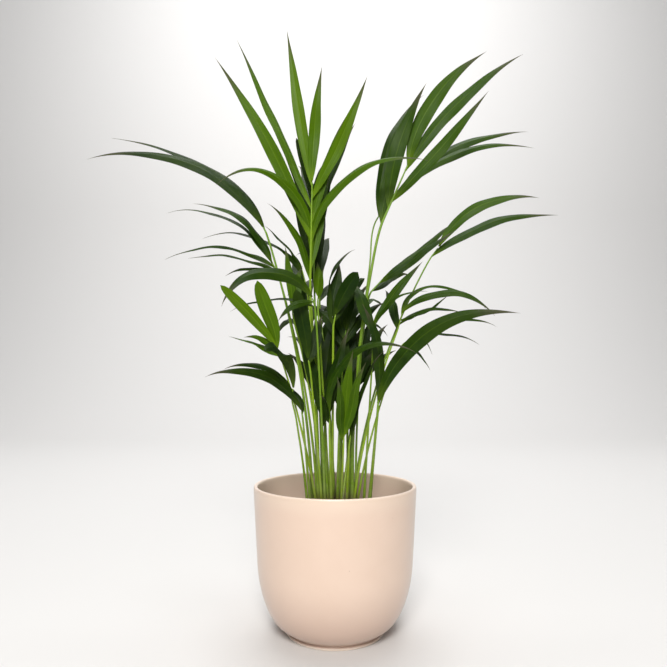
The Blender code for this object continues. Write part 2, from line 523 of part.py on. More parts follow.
# ---------------------------------------------------------------- leaflets
class Leaflet:
    """One blade that grows out of a stem's side, or out of its end."""

    def __init__(self, stem, distance, row, shift=0.0, turn_more=0.0, bow_more=0.0):
        self.side, _, length, heading, lean, bow, width, turn, self.outline = row
        self.stem, self.distance = stem, distance
        self.width = width / 1000 * LEAF_WIDTH
        start = stem.at(distance)
        reach = stretched(heading_vector(heading, lean) * (length / 1000))
        tip = start + reach + Vector((0.0, shift, 0.0))
        self.turn = math.radians(turn + turn_more)
        self.curve = arch(start, tip, bow + bow_more)
        self.length = reach.length
        self.count = 3 if self.length < 0.06 else 4 if self.length < 0.11 else 5

    def sections(self, wider=0.0, thicker=0.0):
        """Rings of four corners: the front face's lower and upper edge, then the back's upper and lower."""
        stem_side, _ = frame_at(self.stem.along(self.distance), self.stem.facing)
        outward = stem_side * {"R": 1.0, "L": -1.0, "E": 0.0}[self.side]
        hand = {"R": 1.0, "L": -1.0, "E": 1.0}[self.side]
        stem_half = self.stem.half(self.distance)
        shape = OUTLINES[self.outline]
        chosen = [shape[round(k * (len(shape) - 1) / (self.count - 1))] for k in range(self.count)]
        rings = []
        for place, share in chosen:
            width = self.width * share + wider
            middle = self.curve(place)
            along = (self.curve(place + 0.02) - self.curve(place - 0.02)).normalized()
            _, front = frame_at(along, self.stem.facing)
            across = front.cross(along)
            roll = self.turn * min(1.0, place / 0.27)
            tilt = math.sin(roll) * math.copysign(1.0, across.z)
            level = math.cos(roll)
            across, front = across * level - front * tilt, front * level + across * tilt
            if self.side != "E":
                away = (middle - self.stem.at(self.distance)).dot(outward)
                needed = stem_half + STALK_CLEARANCE + abs(across.dot(outward)) * width / 2
                middle = middle + outward * max(0.0, needed - away) * max(0.0, 1 - place / 0.5)
            half = across * (width / 2 * hand)
            deep = front * ((LEAF_THICKNESS + thicker) / 2)
            low, high = middle - half, middle + half
            rings.append([low + deep, high + deep, high - deep, low - deep])
        return rings

    def tip(self):
        return self.curve(1.0)

    def shell(self, extra=0.0):
        """Points and faces of the blade outside the stem, thickened, for testing what it would touch."""
        points, faces = tube_of(self.sections(2 * extra, 2 * extra))
        points.append(self.tip())
        last = len(points) - 1
        faces += [(last - 4 + k, last - 4 + (k + 1) % 4, last) for k in range(4)]
        return points, faces


# ---------------------------------------------------------------- keeping everything apart
class Space:
    """Everything placed so far, to ask what a new stalk or leaflet would touch."""

    def __init__(self):
        self.low, self.high, self.trees = [], [], []

    def add(self, points, faces):
        cloud = np.array([tuple(p) for p in points])
        self.low.append(cloud.min(axis=0))
        self.high.append(cloud.max(axis=0))
        self.trees.append(BVHTree.FromPolygons([tuple(p) for p in points], faces))

    def touches(self, points, faces, skip=()):
        if not self.trees:
            return 0
        cloud = np.array([tuple(p) for p in points])
        near = (np.array(self.low) <= cloud.max(axis=0)).all(axis=1)
        near &= (np.array(self.high) >= cloud.min(axis=0)).all(axis=1)
        tree = BVHTree.FromPolygons([tuple(p) for p in points], faces)
        return sum(bool(tree.overlap(self.trees[k])) for k in np.flatnonzero(near) if k not in skip)


def best_of(tries, make, space, skip=()):
    """The first try that touches nothing, or the one that touches least."""
    best, least = None, None
    for settings in tries:
        made = make(*settings)
        count = space.touches(*made[1], skip)
        if least is None or count < least:
            best, least = made[0], count
        if not count:
            break
    return best, least


def by_size(*choices):
    """All combinations, the smallest changes first."""
    most = [max(map(abs, choice)) for choice in choices]

    def size(one):
        return sum(abs(value) / top for value, top in zip(one, most))

    return sorted(itertools.product(*choices), key=size)


def steps(size, first, last):
    """Moves to the front and to the back, from the first step to the last."""
    return [sign * k * size for k in range(first, last + 1) for sign in (1, -1)]


def place_stem(row, space):
    (foot_x, foot_y), (x, y, up), bow, (length, heading, lean), stalk, facing, _ = row
    base = Vector((foot_x, foot_y, soil_top(math.hypot(foot_x, foot_y)) + SEAT_GAP))
    rise = stretched(Vector((x, y, up)))
    half = stalk / 2000 * STALK_WIDTH

    def make(neck_shift, bow_more):
        neck = Vector((rise.x, rise.y + neck_shift, POT_HEIGHT + rise.z))
        tip = neck + stretched(heading_vector(heading, lean) * (length / 1000))
        stem = Stem(base, neck, tip, bow + bow_more, half, facing)
        return stem, stem.tube(AIR_GAP)

    near = by_size([0.0] + steps(STALK_STEP, 1, 8), [0.0, 0.01, -0.01, 0.02, -0.02, 0.03, -0.03])
    far = by_size(steps(2 * STALK_STEP, 5, 10), [0.0, 0.04, -0.04, 0.06, -0.06])
    return best_of(near + far, make, space)


def leaflet_places(stem, rows):
    """Distances along the stem of each leaflet, kept one pitch apart and counted down from the end."""
    rachis = stem.length - stem.neck
    asked = {k: stem.neck + rachis * row[1] for k, row in enumerate(rows) if row[0] != "E"}
    limit = stem.length - LEAFLET_PITCH * 0.6
    places = {k: stem.length for k, row in enumerate(rows) if row[0] == "E"}
    for k in sorted(asked, key=lambda one: -asked[one]):
        places[k] = min(asked[k], limit)
        limit = places[k] - LEAFLET_PITCH
    return places


def place_leaflets(stem, own, rows, space):
    """The frond's leaflets, each in the first position that touches nothing placed before it."""
    places = leaflet_places(stem, rows)
    near = by_size([0.0] + steps(BLADE_STEP, 1, 6), [0.0, 12.0, -12.0, 25.0], [0.0, 0.03, -0.03])
    turns = [0.0, 20.0, -20.0, 40.0, -40.0]
    far = by_size(steps(2 * BLADE_STEP, 0, 7), turns, [0.06, -0.06, 0.10, -0.10, 0.0])
    leaflets, crowded = [], 0
    for k, row in enumerate(rows):

        def make(shift, turn, bow, row=row, k=k):
            leaf = Leaflet(stem, places[k], row, shift, turn, bow)
            return leaf, leaf.shell(AIR_GAP)

        leaf, count = best_of(near + far, make, space, skip=() if row[0] != "E" else (own,))
        crowded += count
        space.add(*leaf.shell())
        leaflets.append(leaf)
    return leaflets, crowded


# ---------------------------------------------------------------- one frond as one closed solid
def extruded(work, face, order, corners):
    """Extrudes a face. Each of its corners, in the order given, moves to its own point."""
    before = list(face.verts)
    face = bmesh.ops.extrude_discrete_faces(work, faces=[face])["faces"][0]
    after = dict(zip(before, face.verts))
    moved = [after[corner] for corner in order]
    for corner, point in zip(moved, corners):
        corner.co = point
    return face, moved


def frond_mesh(stem, leaflets):
    """A quad extruded up the stalk, and blades extruded from the side faces where the leaflets sit."""
    by_place = sorted((leaf for leaf in leaflets if leaf.side != "E"), key=lambda one: one.distance)
    first = by_place[0].distance if by_place else stem.length
    distances = list(np.linspace(0.0, first - LEAFLET_PITCH, STALK_RINGS))
    seats = {}
    for leaf in by_place:
        seats[len(distances)] = leaf
        distances += [leaf.distance - LEAFLET_SEAT / 2, leaf.distance + LEAFLET_SEAT / 2]
    rings = [stem.ring(distance) for distance in [*distances, stem.length]]
    for corner in rings[0]:
        corner.z = soil_top(math.hypot(corner.x, corner.y)) + SEAT_GAP

    work = bmesh.new()
    columns = [[work.verts.new(corner) for corner in rings[0]]]
    top = work.faces.new(columns[0][::-1])
    for ring in rings[1:]:
        top, corners = extruded(work, top, columns[-1], ring)
        columns.append(corners)
    work.faces.new(columns[0])
    for leaf in leaflets:
        if leaf.side == "E":
            grow_blade(work, top, columns[-1], leaf)
    for ring, leaf in seats.items():
        low, high = columns[ring], columns[ring + 1]
        a, b = (0, 3) if leaf.side == "R" else (1, 2)
        seat = [low[a], high[a], high[b], low[b]]
        grow_blade(work, work.faces.get(seat), seat, leaf)
    return work


def grow_blade(work, face, seat, leaf):
    """Extrudes a face through a blade's sections and draws it together at the tip."""
    for section in leaf.sections():
        face, seat = extruded(work, face, seat, section)
    tip = leaf.tip()
    _, corners = extruded(work, face, seat, [tip] * 4)
    bmesh.ops.pointmerge(work, verts=corners, merge_co=tip)


LEAF_GREENS = {"young": (0.24, 0.42, 0.03), "mid": (0.10, 0.24, 0.03), "deep": (0.03, 0.10, 0.02)}
YOUNG = ("top_fan", "front_left_fan", "left_young", "centre_young", "centre_spear", "low_young")
DEEP = (
    "top_back", "centre_dark", "centre_back", "front_dark_tall", "front_dark_short",
    "back_low_left", "back_low_right", "dark_left", "dark_mid", "dark_right",
)


def plant():
    space, stems = Space(), {}
    for name, row in FRONDS.items():
        stem, count = place_stem(row, space)
        if count:
            print(name, "stalk is crowded by", count)
        space.add(*stem.tube(0.0))
        stems[name] = (stem, len(space.trees) - 1)
    for name, row in FRONDS.items():
        stem, own = stems[name]
        leaflets, crowded = place_leaflets(stem, own, row[-1], space)
        if crowded:
            print(name, "leaflets are crowded by", crowded)
        shade = "young" if name in YOUNG else "deep" if name in DEEP else "mid"
        finish = material(f"{name}_leaf", LEAF_GREENS[shade], 0.42)
        solid(f"frond_{name}", frond_mesh(stem, leaflets), finish)


def main():
    for thing in list(bpy.data.objects):
        bpy.data.objects.remove(thing)
    cover_pot()
    grow_pot()
    soil()
    plant()


main()
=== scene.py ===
# %% [markdown]
# # A young areca palm in a blush cover pot
#
# The palm is a handful of seedlings grown close together. Each sends up feather leaves, called fronds: a
# slender yellow-green stalk, then a rachis that carries long, folded leaflets. The seedlings stand in a
# plastic nursery pot, and that stands inside a round-bottomed ceramic cover pot with a satin glaze.
#
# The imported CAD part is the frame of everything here. It holds each frond as a plain solid with flat-sided
# leaflets. This lesson reads the route of every stalk and leaflet back out of those solids, then grows
# smooth, folded and veined ones along the same routes, so that nothing moves away from where the CAD part has
# it.

import math

import bpy
import numpy as np
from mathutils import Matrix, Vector


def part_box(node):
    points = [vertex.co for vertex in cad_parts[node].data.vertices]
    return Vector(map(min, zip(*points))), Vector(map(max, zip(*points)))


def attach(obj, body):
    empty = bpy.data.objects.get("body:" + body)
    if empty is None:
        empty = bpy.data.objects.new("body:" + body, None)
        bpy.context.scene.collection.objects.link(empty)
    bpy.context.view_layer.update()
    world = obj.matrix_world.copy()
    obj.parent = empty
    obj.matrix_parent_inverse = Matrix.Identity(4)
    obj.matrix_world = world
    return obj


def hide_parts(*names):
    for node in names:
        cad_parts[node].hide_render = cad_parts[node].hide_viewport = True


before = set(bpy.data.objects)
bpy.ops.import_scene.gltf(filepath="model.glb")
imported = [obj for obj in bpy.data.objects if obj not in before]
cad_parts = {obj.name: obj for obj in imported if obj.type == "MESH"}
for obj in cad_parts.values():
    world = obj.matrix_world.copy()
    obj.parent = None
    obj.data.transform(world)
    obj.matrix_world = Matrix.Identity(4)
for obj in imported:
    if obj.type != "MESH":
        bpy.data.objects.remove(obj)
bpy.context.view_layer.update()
chance = np.random.default_rng(11)
fronds = sorted(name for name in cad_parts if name.startswith("frond_"))

# %% [markdown]
# ## Putting computed surfaces into meshes
#
# Every new piece is worked out as whole arrays of points, so one helper turns an array of points and an array
# of four-cornered faces into a mesh. A grid of points that closes on itself, such as a stalk or a pot, is
# called a sleeve here: its rows are rings, and each end is closed by a fan of triangles to one point, a pole.


# %% Arrays into a mesh
def build_mesh(name, points, quads, triangles, materials, finish=None):
    """A mesh from arrays: points (n, 3), quads (m, 4), triangles (k, 3) and one material index per face."""
    mesh = bpy.data.meshes.new(name)
    mesh.vertices.add(len(points))
    mesh.vertices.foreach_set("co", np.asarray(points, np.float32).ravel())
    corners = np.concatenate([np.ravel(quads), np.ravel(triangles)]).astype(np.int32)
    sizes = np.concatenate([np.full(len(quads), 4), np.full(len(triangles), 3)]).astype(np.int32)
    mesh.loops.add(len(corners))
    mesh.loops.foreach_set("vertex_index", corners)
    mesh.polygons.add(len(sizes))
    mesh.polygons.foreach_set("loop_start", (np.cumsum(sizes) - sizes).astype(np.int32))
    if finish is not None:
        mesh.polygons.foreach_set("material_index", np.asarray(finish, np.int32))
    mesh.update(calc_edges=True)
    mesh.validate()
    mesh.shade_smooth()
    for material in materials:
        mesh.materials.append(material)
    piece = bpy.data.objects.new(name, mesh)
    bpy.context.scene.collection.objects.link(piece)
    return piece


def point_values(piece, name, values):
    """Stores one number for each point of a piece, which its material can read by that name."""
    attribute = piece.data.attributes.new(name, "FLOAT", "POINT")
    attribute.data.foreach_set("value", np.asarray(values, np.float32))


def surface_map(piece, across, along):
    """A UV map from two numbers for each point: across and along the piece."""
    layer = piece.data.uv_layers.new(name="Surface")
    corners = np.empty(len(piece.data.loops), np.int32)
    piece.data.loops.foreach_get("vertex_index", corners)
    pairs = np.stack([np.asarray(across)[corners], np.asarray(along)[corners]], axis=1)
    layer.data.foreach_set("uv", pairs.astype(np.float32).ravel())


# %% Sleeves and their poles
def sleeve_faces(rings, around):
    """Faces of a sleeve whose ring k holds points k * around onwards, with its two poles after the last ring.

    A quad joins points i and i + 1 of a ring to the same two of the next. The first pole closes the first.
    """
    ring, place = np.meshgrid(np.arange(rings - 1), np.arange(around), indexing="ij")
    after = (place + 1) % around
    low, high = ring * around, (ring + 1) * around
    quads = np.stack([low + place, low + after, high + after, high + place], axis=-1).reshape(-1, 4)
    place = np.arange(around)
    after = (place + 1) % around
    first, last = rings * around, rings * around + 1
    top = (rings - 1) * around
    opening = np.stack([np.full(around, first), after, place], axis=1)
    ending = np.stack([np.full(around, last), top + place, top + after], axis=1)
    return quads, np.concatenate([opening, ending])


def outward_faces(points, quads, triangles):
    """The same faces, all turned round if together they enclose a volume below zero."""
    halves = np.concatenate([quads[:, [0, 1, 2]], quads[:, [0, 2, 3]], triangles])
    a, b, c = (points[halves[:, k]] for k in range(3))
    volume = np.einsum("ij,ij->", a, np.cross(b, c)) / 6
    return (quads, triangles) if volume > 0 else (quads[:, ::-1], triangles[:, ::-1])


# %% [markdown]
# ## Smooth lines through a few points
#
# A CAD stalk has a dozen rings and a leaflet has three to five sections. A natural cubic spline runs smoothly
# through every ring of a stalk. For a leaflet, a cubic that passes close to its sections and exactly through
# its ends looks more like a blade under its own weight, because it can't kink where the CAD solid does.


# %% Splines and fitted cubics
def through(places, values, wanted):
    """Reads a natural cubic spline. Its second derivatives solve a linear system, and are 0 at both ends."""
    gap = np.diff(places)
    slope = np.diff(values, axis=0) / gap[:, None]
    system = np.eye(len(places))
    inner = np.arange(1, len(places) - 1)
    system[inner, inner - 1] = gap[:-1]
    system[inner, inner] = 2 * (gap[:-1] + gap[1:])
    system[inner, inner + 1] = gap[1:]
    change = np.zeros_like(values)
    change[1:-1] = 6 * np.diff(slope, axis=0)
    bend = np.linalg.solve(system, change)
    k = np.clip(np.searchsorted(places, wanted) - 1, 0, len(gap) - 1)
    step = gap[k][:, None]
    left, right = (places[k + 1] - wanted)[:, None], (wanted - places[k])[:, None]
    before = values[k] / step - bend[k] * step / 6
    behind = values[k + 1] / step - bend[k + 1] * step / 6
    curved = (bend[k] * left**3 + bend[k + 1] * right**3) / (6 * step)
    return curved + (before * left + behind * right)


def near(places, values, wanted, degree=3):
    """Reads the polynomial that fits the values best, its two ends held a hundred times as firmly."""
    weight = np.ones(len(places))
    weight[[0, -1]] = 100
    powers = np.vander(places, degree + 1)
    factors = np.linalg.lstsq(powers * weight[:, None], values * weight[:, None], rcond=None)[0]
    return np.vander(wanted, degree + 1) @ factors


def unit(vectors):
    return vectors / np.maximum(np.linalg.norm(vectors, axis=-1, keepdims=True), 1e-12)


def square_to(vectors, along):
    """Each vector with its share along a direction taken away, at unit length."""
    return unit(vectors - along * np.sum(vectors * along, axis=-1, keepdims=True))


def distances_along(points):
    return np.concatenate([[0.0], np.cumsum(np.linalg.norm(np.diff(points, axis=0), axis=1))])


# %% [markdown]
# ## Reading the routes out of the CAD solids
#
# A CAD frond is built in a regular way: rings of four corners up the stalk, and out of the rachis leaflets
# that are rings of four corners too, ending in one sharp point. So the routes can be read by walking the
# mesh. From each sharp point, the neighbours are the last section, their neighbours are the one before it,
# and so on until the walk meets the rachis. What is left is the stalk, which is walked in the same way from
# its foot.


# %% Walking a mesh in steps
def merged_corners(node):
    """A CAD node's corners with doubles merged, and a square table that says which ones share an edge."""
    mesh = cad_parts[node].data
    places = np.empty(len(mesh.vertices) * 3, np.float32)
    mesh.vertices.foreach_get("co", places)
    mesh.calc_loop_triangles()
    triangles = np.empty(len(mesh.loop_triangles) * 3, np.int32)
    mesh.loop_triangles.foreach_get("vertices", triangles)
    corners, index = np.unique(places.reshape(-1, 3).round(6), axis=0, return_inverse=True)
    triangles = index.reshape(-1)[triangles].reshape(-1, 3)
    joined = np.zeros((len(corners), len(corners)), bool)
    for a, b in ((0, 1), (1, 2), (2, 0)):
        joined[triangles[:, a], triangles[:, b]] = True
        joined[triangles[:, b], triangles[:, a]] = True
    return corners.astype(float), joined


def walk(joined, begin, allowed):
    """Rings of neighbours, step by step from the corners in begin, for as long as each ring holds four."""
    seen = ~allowed
    seen[begin] = True
    rings = [begin]
    while True:
        reached = joined[rings[-1]].any(axis=0) & ~seen
        if reached.sum() != 4:
            return rings
        seen |= reached
        rings.append(np.flatnonzero(reached))


def long_and_short(ring):
    """A four-cornered ring's long direction, and its width and thickness, from its principal axes."""
    spread, axes = np.linalg.svd(ring - ring.mean(axis=0))[1:]
    return axes[0], spread[0], spread[1]


# %% One frond's stalk and leaflets
NO_TIPS_BELOW = 0.01  # above a stalk's foot
SHARP = 0.5  # the mean of the directions to a corner's neighbours is longer than this at a tip
SEAT_SHAPE = 1.6  # a ring less than this many times as wide as thick is no blade's section
STALK_SHAPE = 1.3  # a ring more than this many times as wide as thick isn't a stalk's


def routes(node):
    """A frond's stalk as (middles, half widths), its leaflets as (sections (k, 4, 3), seat's middle, tip).

    Where the rachis is straight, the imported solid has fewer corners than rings, so the walk up the stalk ends
    there. The middles of the leaflets' seats, moved in by half the rachis's width, carry the route on.
    """
    corners, joined = merged_corners(node)
    away = unit(corners[None] - corners[:, None])
    count = joined.sum(axis=1)
    pull = np.linalg.norm((away * joined[..., None]).sum(axis=1), axis=1) / count
    free = np.ones(len(corners), bool)
    low = corners[:, 2].min() + NO_TIPS_BELOW
    leaflets, middles, halves = [], [], []
    for tip in np.flatnonzero((count == 4) & (pull > SHARP) & (corners[:, 2] > low)):
        rings = walk(joined, np.array([tip]), np.ones(len(corners), bool))
        shapes = [long_and_short(corners[ring]) for ring in rings[1:]]
        square = [k for k, (_, wide, thin) in enumerate(shapes) if wide < SEAT_SHAPE * thin]
        last = square[0] if square else len(shapes) - 1
        if last < 2:
            continue
        sections = np.array([corners[ring] for ring in rings[1 : last + 1]])[::-1]
        seat, half = corners[rings[last + 1]], shapes[last][2] / 2
        outward = np.linalg.svd(seat - seat.mean(axis=0))[2][2] * half
        outward *= np.sign(outward @ (sections[0].mean(axis=0) - seat.mean(axis=0)))
        middle = seat.mean(axis=0) - (0 if square else outward)
        leaflets.append((sections, middle, corners[tip]))
        middles.append(middle)
        halves.append(half)
        free[np.concatenate(rings[: last + 1])] = False
    foot = np.argsort(np.where(free, corners[:, 2], np.inf))[:4]
    stalk = [corners[ring] for ring in walk(joined, foot, free)]
    spreads = [long_and_short(ring)[1:] for ring in stalk]
    whole = next((k for k, (wide, thin) in enumerate(spreads) if wide > STALK_SHAPE * thin), len(stalk))
    middles = np.array([ring.mean(axis=0) for ring in stalk[:whole]] + middles)
    halves = np.array([thin / 2 for _, thin in spreads[:whole]] + halves)
    order = np.argsort(np.linalg.norm(middles - middles[0], axis=1))
    return (middles[order], halves[order]), leaflets


plans = {name: routes(name) for name in fronds}
print("leaflets:", sum(len(leaflets) for _, leaflets in plans.values()))
print("points on each stalk:", {name[6:]: len(stalk[1]) for name, (stalk, _) in plans.items()})

# %% [markdown]
# ## Materials: a short way to write nodes
#
# Shader nodes are wired by socket names. Two small helpers keep the recipes readable: one makes a node, sets
# its values and links its inputs, and the other mixes two colours. All patterns come from an object's own
# place or from numbers stored on its surface, so they stay put when the object is seen from another side.


# %% Node helpers
def put(tree, kind, inputs=None, **settings):
    """A new shader node. An input is a value to set, or another node's output socket to link from."""
    made = tree.nodes.new("ShaderNode" + kind)
    for name, value in settings.items():
        setattr(made, name, value)
    for name, value in (inputs or {}).items():
        if isinstance(value, bpy.types.NodeSocket):
            tree.links.new(value, made.inputs[name])
        else:
            made.inputs[name].default_value = value
    return made


def colour(red, green, blue):
    return (red, green, blue, 1.0)


def mixed(tree, share, first, second):
    """A colour socket that goes from the first colour to the second as share goes from 0 to 1."""
    made = put(tree, "Mix", data_type="RGBA")
    for socket, value in ((made.inputs[0], share), (made.inputs[6], first), (made.inputs[7], second)):
        if isinstance(value, bpy.types.NodeSocket):
            tree.links.new(value, socket)
        else:
            socket.default_value = value
    return made.outputs[2]


def maths(tree, operation, first, second=0.0):
    return put(tree, "Math", {0: first, 1: second}, operation=operation).outputs[0]


def ranged(tree, value, low, high, start=0.0, end=1.0):
    """Start below low, end above high, and a smooth step between them."""
    inputs = {"Value": value, "From Min": low, "From Max": high, "To Min": start, "To Max": end}
    return put(tree, "MapRange", inputs, interpolation_type="SMOOTHSTEP").outputs[0]


def stored(tree, name):
    return put(tree, "Attribute", attribute_name=name).outputs["Fac"]


def new_finish(name):
    """An empty material, its node tree and its Principled BSDF."""
    material = bpy.data.materials.new(name)
    material.use_nodes = True
    tree = material.node_tree
    return material, tree, tree.nodes["Principled BSDF"]


def feed(tree, shader, **sockets):
    """Links or sets a shader's inputs, written with an underscore for each space."""
    for name, value in sockets.items():
        socket = shader.inputs[name.replace("_", " ")]
        if isinstance(value, bpy.types.NodeSocket):
            tree.links.new(value, socket)
        else:
            socket.default_value = value


# %% [markdown]
# ## Shared effects
#
# Two effects come back in several finishes. Mottling is the slow, cloudy change of shade that every grown or
# fired surface has. Fibres are fine streaks that follow a leaf or a stalk, read from the piece's own surface
# map. Each is a node group, built once, that puts out numbers only.


# %% Node groups
def new_group(name, inputs, outputs):
    """A shader node group with named number and vector inputs, and number outputs."""
    group = bpy.data.node_groups.new(name, "ShaderNodeTree")
    for label, kind, value in inputs:
        socket = group.interface.new_socket(label, in_out="INPUT", socket_type="NodeSocket" + kind)
        if value is not None:
            socket.default_value = value
    for label in outputs:
        group.interface.new_socket(label, in_out="OUTPUT", socket_type="NodeSocketFloat")
    given = group.nodes.new("NodeGroupInput")
    result = group.nodes.new("NodeGroupOutput")
    return group, given.outputs, result.inputs


def mottling_group():
    """Cloudy shade from 0 to 1: two sizes of noise in the object's space, added and stretched to 0 to 1."""
    group, given, result = new_group("mottling", [("Scale", "Float", 20.0)], ["Shade"])
    place = put(group, "TexCoord").outputs["Object"]
    coarse = put(group, "TexNoise", {"Vector": place, "Scale": given["Scale"], "Detail": 3.0}).outputs["Fac"]
    finer = maths(group, "MULTIPLY", given["Scale"], 6.3)
    fine = put(group, "TexNoise", {"Vector": place, "Scale": finer, "Detail": 2.0}).outputs["Fac"]
    both = maths(group, "ADD", maths(group, "MULTIPLY", coarse, 0.7), maths(group, "MULTIPLY", fine, 0.3))
    group.links.new(ranged(group, both, 0.35, 0.65), result["Shade"])
    return group


def fibre_group():
    """Streaks that run along a surface: noise on the surface map, packed across and drawn out along."""
    inputs = [("Across", "Float", 60.0), ("Along", "Float", 3.0), ("Seed", "Float", 0.0)]
    group, given, result = new_group("fibres", inputs, ["Streak"])
    place = put(group, "SeparateXYZ", {0: put(group, "UVMap", uv_map="Surface").outputs[0]})
    packed = maths(group, "MULTIPLY", place.outputs["X"], given["Across"])
    drawn = maths(group, "MULTIPLY", place.outputs["Y"], given["Along"])
    apart = maths(group, "MULTIPLY", given["Seed"], 31.7)
    where = put(group, "CombineXYZ", {"X": packed, "Y": drawn, "Z": apart}).outputs[0]
    noise = put(group, "TexNoise", {"Vector": where, "Scale": 1.0, "Detail": 3.0, "Roughness": 0.6})
    group.links.new(ranged(group, noise.outputs["Fac"], 0.32, 0.68), result["Streak"])
    return group


MOTTLING, FIBRES = mottling_group(), fibre_group()


def mottled(tree, scale):
    return put(tree, "Group", node_tree=MOTTLING, inputs={"Scale": scale}).outputs["Shade"]


def streaked(tree, across, along, seed):
    made = put(tree, "Group", node_tree=FIBRES)
    for name, value in (("Across", across), ("Along", along), ("Seed", seed)):
        if isinstance(value, bpy.types.NodeSocket):
            tree.links.new(value, made.inputs[name])
        else:
            made.inputs[name].default_value = value
    return made.outputs["Streak"]


print("node groups:", [group.name for group in bpy.data.node_groups])

# %% [markdown]
# ## The leaf finish
#
# A palm leaflet is waxy above, with a pale midrib along its fold, fine veins beside it and a thin dry point.
# Young leaflets are yellow-green and older ones near black-green. Light shines through them, which is what
# makes the top fan glow. One material does all of this: it reads six numbers stored on each blade, which are
# how far along and across it a point lies, how young the blade is, a seed that makes every blade different,
# its underside, and whether it ends in a fine point.


# %% Leaf material
def leaf_finish():
    material, tree, shader = new_finish("waxy_leaf")
    along, across = stored(tree, "along"), stored(tree, "across")
    young, seed, under = stored(tree, "young"), stored(tree, "seed"), stored(tree, "under")
    aside = maths(tree, "ABSOLUTE", across)

    ramp = put(tree, "ValToRGB", {"Fac": young})
    stops = [
        (0.0, (0.004, 0.017, 0.001)),
        (0.25, (0.011, 0.038, 0.001)),
        (0.5, (0.034, 0.088, 0.001)),
        (0.75, (0.074, 0.162, 0.001)),
        (1.0, (0.140, 0.262, 0.001)),
    ]
    ramp.color_ramp.elements[1].position = 1.0
    for place, _ in stops[1:-1]:
        ramp.color_ramp.elements.new(place)
    for element, (place, shade) in zip(ramp.color_ramp.elements, stops):
        element.position, element.color = place, colour(*shade)
    green = ramp.outputs["Color"]

    streak = streaked(tree, 14.0, 1.1, seed)
    veins = streaked(tree, 46.0, 0.5, seed)
    cloud = mottled(tree, 26.0)
    green = mixed(tree, maths(tree, "MULTIPLY", streak, 0.32), green, colour(0.007, 0.024, 0.001))
    green = mixed(tree, maths(tree, "MULTIPLY", cloud, 0.10), green, colour(0.150, 0.230, 0.010))
    green = mixed(tree, maths(tree, "MULTIPLY", under, 0.22), green, colour(0.090, 0.160, 0.020))

    fresh = ranged(tree, young, 0.0, 0.8, 0.22, 1.0)
    base = maths(tree, "MULTIPLY", ranged(tree, along, 0.0, 0.16, 0.55, 0.0), fresh)
    green = mixed(tree, base, green, colour(0.20, 0.33, 0.010))
    rib = ranged(tree, aside, 0.015, 0.085, 1.0, 0.0)
    rib_fade = maths(tree, "MULTIPLY", ranged(tree, along, 0.45, 0.95, 0.28, 0.04), fresh)
    green = mixed(tree, maths(tree, "MULTIPLY", rib, rib_fade), green, colour(0.22, 0.36, 0.02))
    margin = maths(tree, "MULTIPLY", ranged(tree, aside, 0.90, 1.0, 0.0, 0.22), fresh)
    green = mixed(tree, margin, green, colour(0.11, 0.18, 0.02))

    ragged = maths(tree, "ADD", along, maths(tree, "MULTIPLY", maths(tree, "SUBTRACT", streak, 0.5), 0.03))
    dull = maths(tree, "MULTIPLY", ranged(tree, ragged, 0.72, 0.92), stored(tree, "pointed"))
    green = mixed(tree, maths(tree, "MULTIPLY", dull, 0.75), green, colour(0.095, 0.085, 0.052))
    dry = maths(tree, "MULTIPLY", ranged(tree, ragged, 0.945, 0.985), stored(tree, "pointed"))
    green = mixed(tree, dry, green, colour(0.15, 0.115, 0.075))

    gloss = maths(tree, "ADD", maths(tree, "MULTIPLY", streak, 0.12), maths(tree, "MULTIPLY", under, 0.16))
    rough = maths(tree, "ADD", maths(tree, "ADD", gloss, 0.34), maths(tree, "MULTIPLY", dry, 0.35))
    relief = maths(tree, "ADD", maths(tree, "MULTIPLY", veins, 0.6), maths(tree, "MULTIPLY", rib, 0.8))
    bump = put(tree, "Bump", {"Height": relief, "Strength": 0.35, "Distance": 0.00025}).outputs[0]
    feed(tree, shader, Base_Color=green, Roughness=rough, Normal=bump)
    feed(tree, shader, Specular_IOR_Level=0.14)

    glow = mixed(tree, 0.35, green, colour(0.30, 0.52, 0.004))
    through_light = put(tree, "BsdfTranslucent", {"Color": glow, "Normal": bump})
    both = put(tree, "MixShader", {0: 0.22, 1: shader.outputs[0], 2: through_light.outputs[0]})
    tree.links.new(both.outputs[0], tree.nodes["Material Output"].inputs["Surface"])
    return material


LEAF = leaf_finish()
print("leaf finish nodes:", len(LEAF.node_tree.nodes))
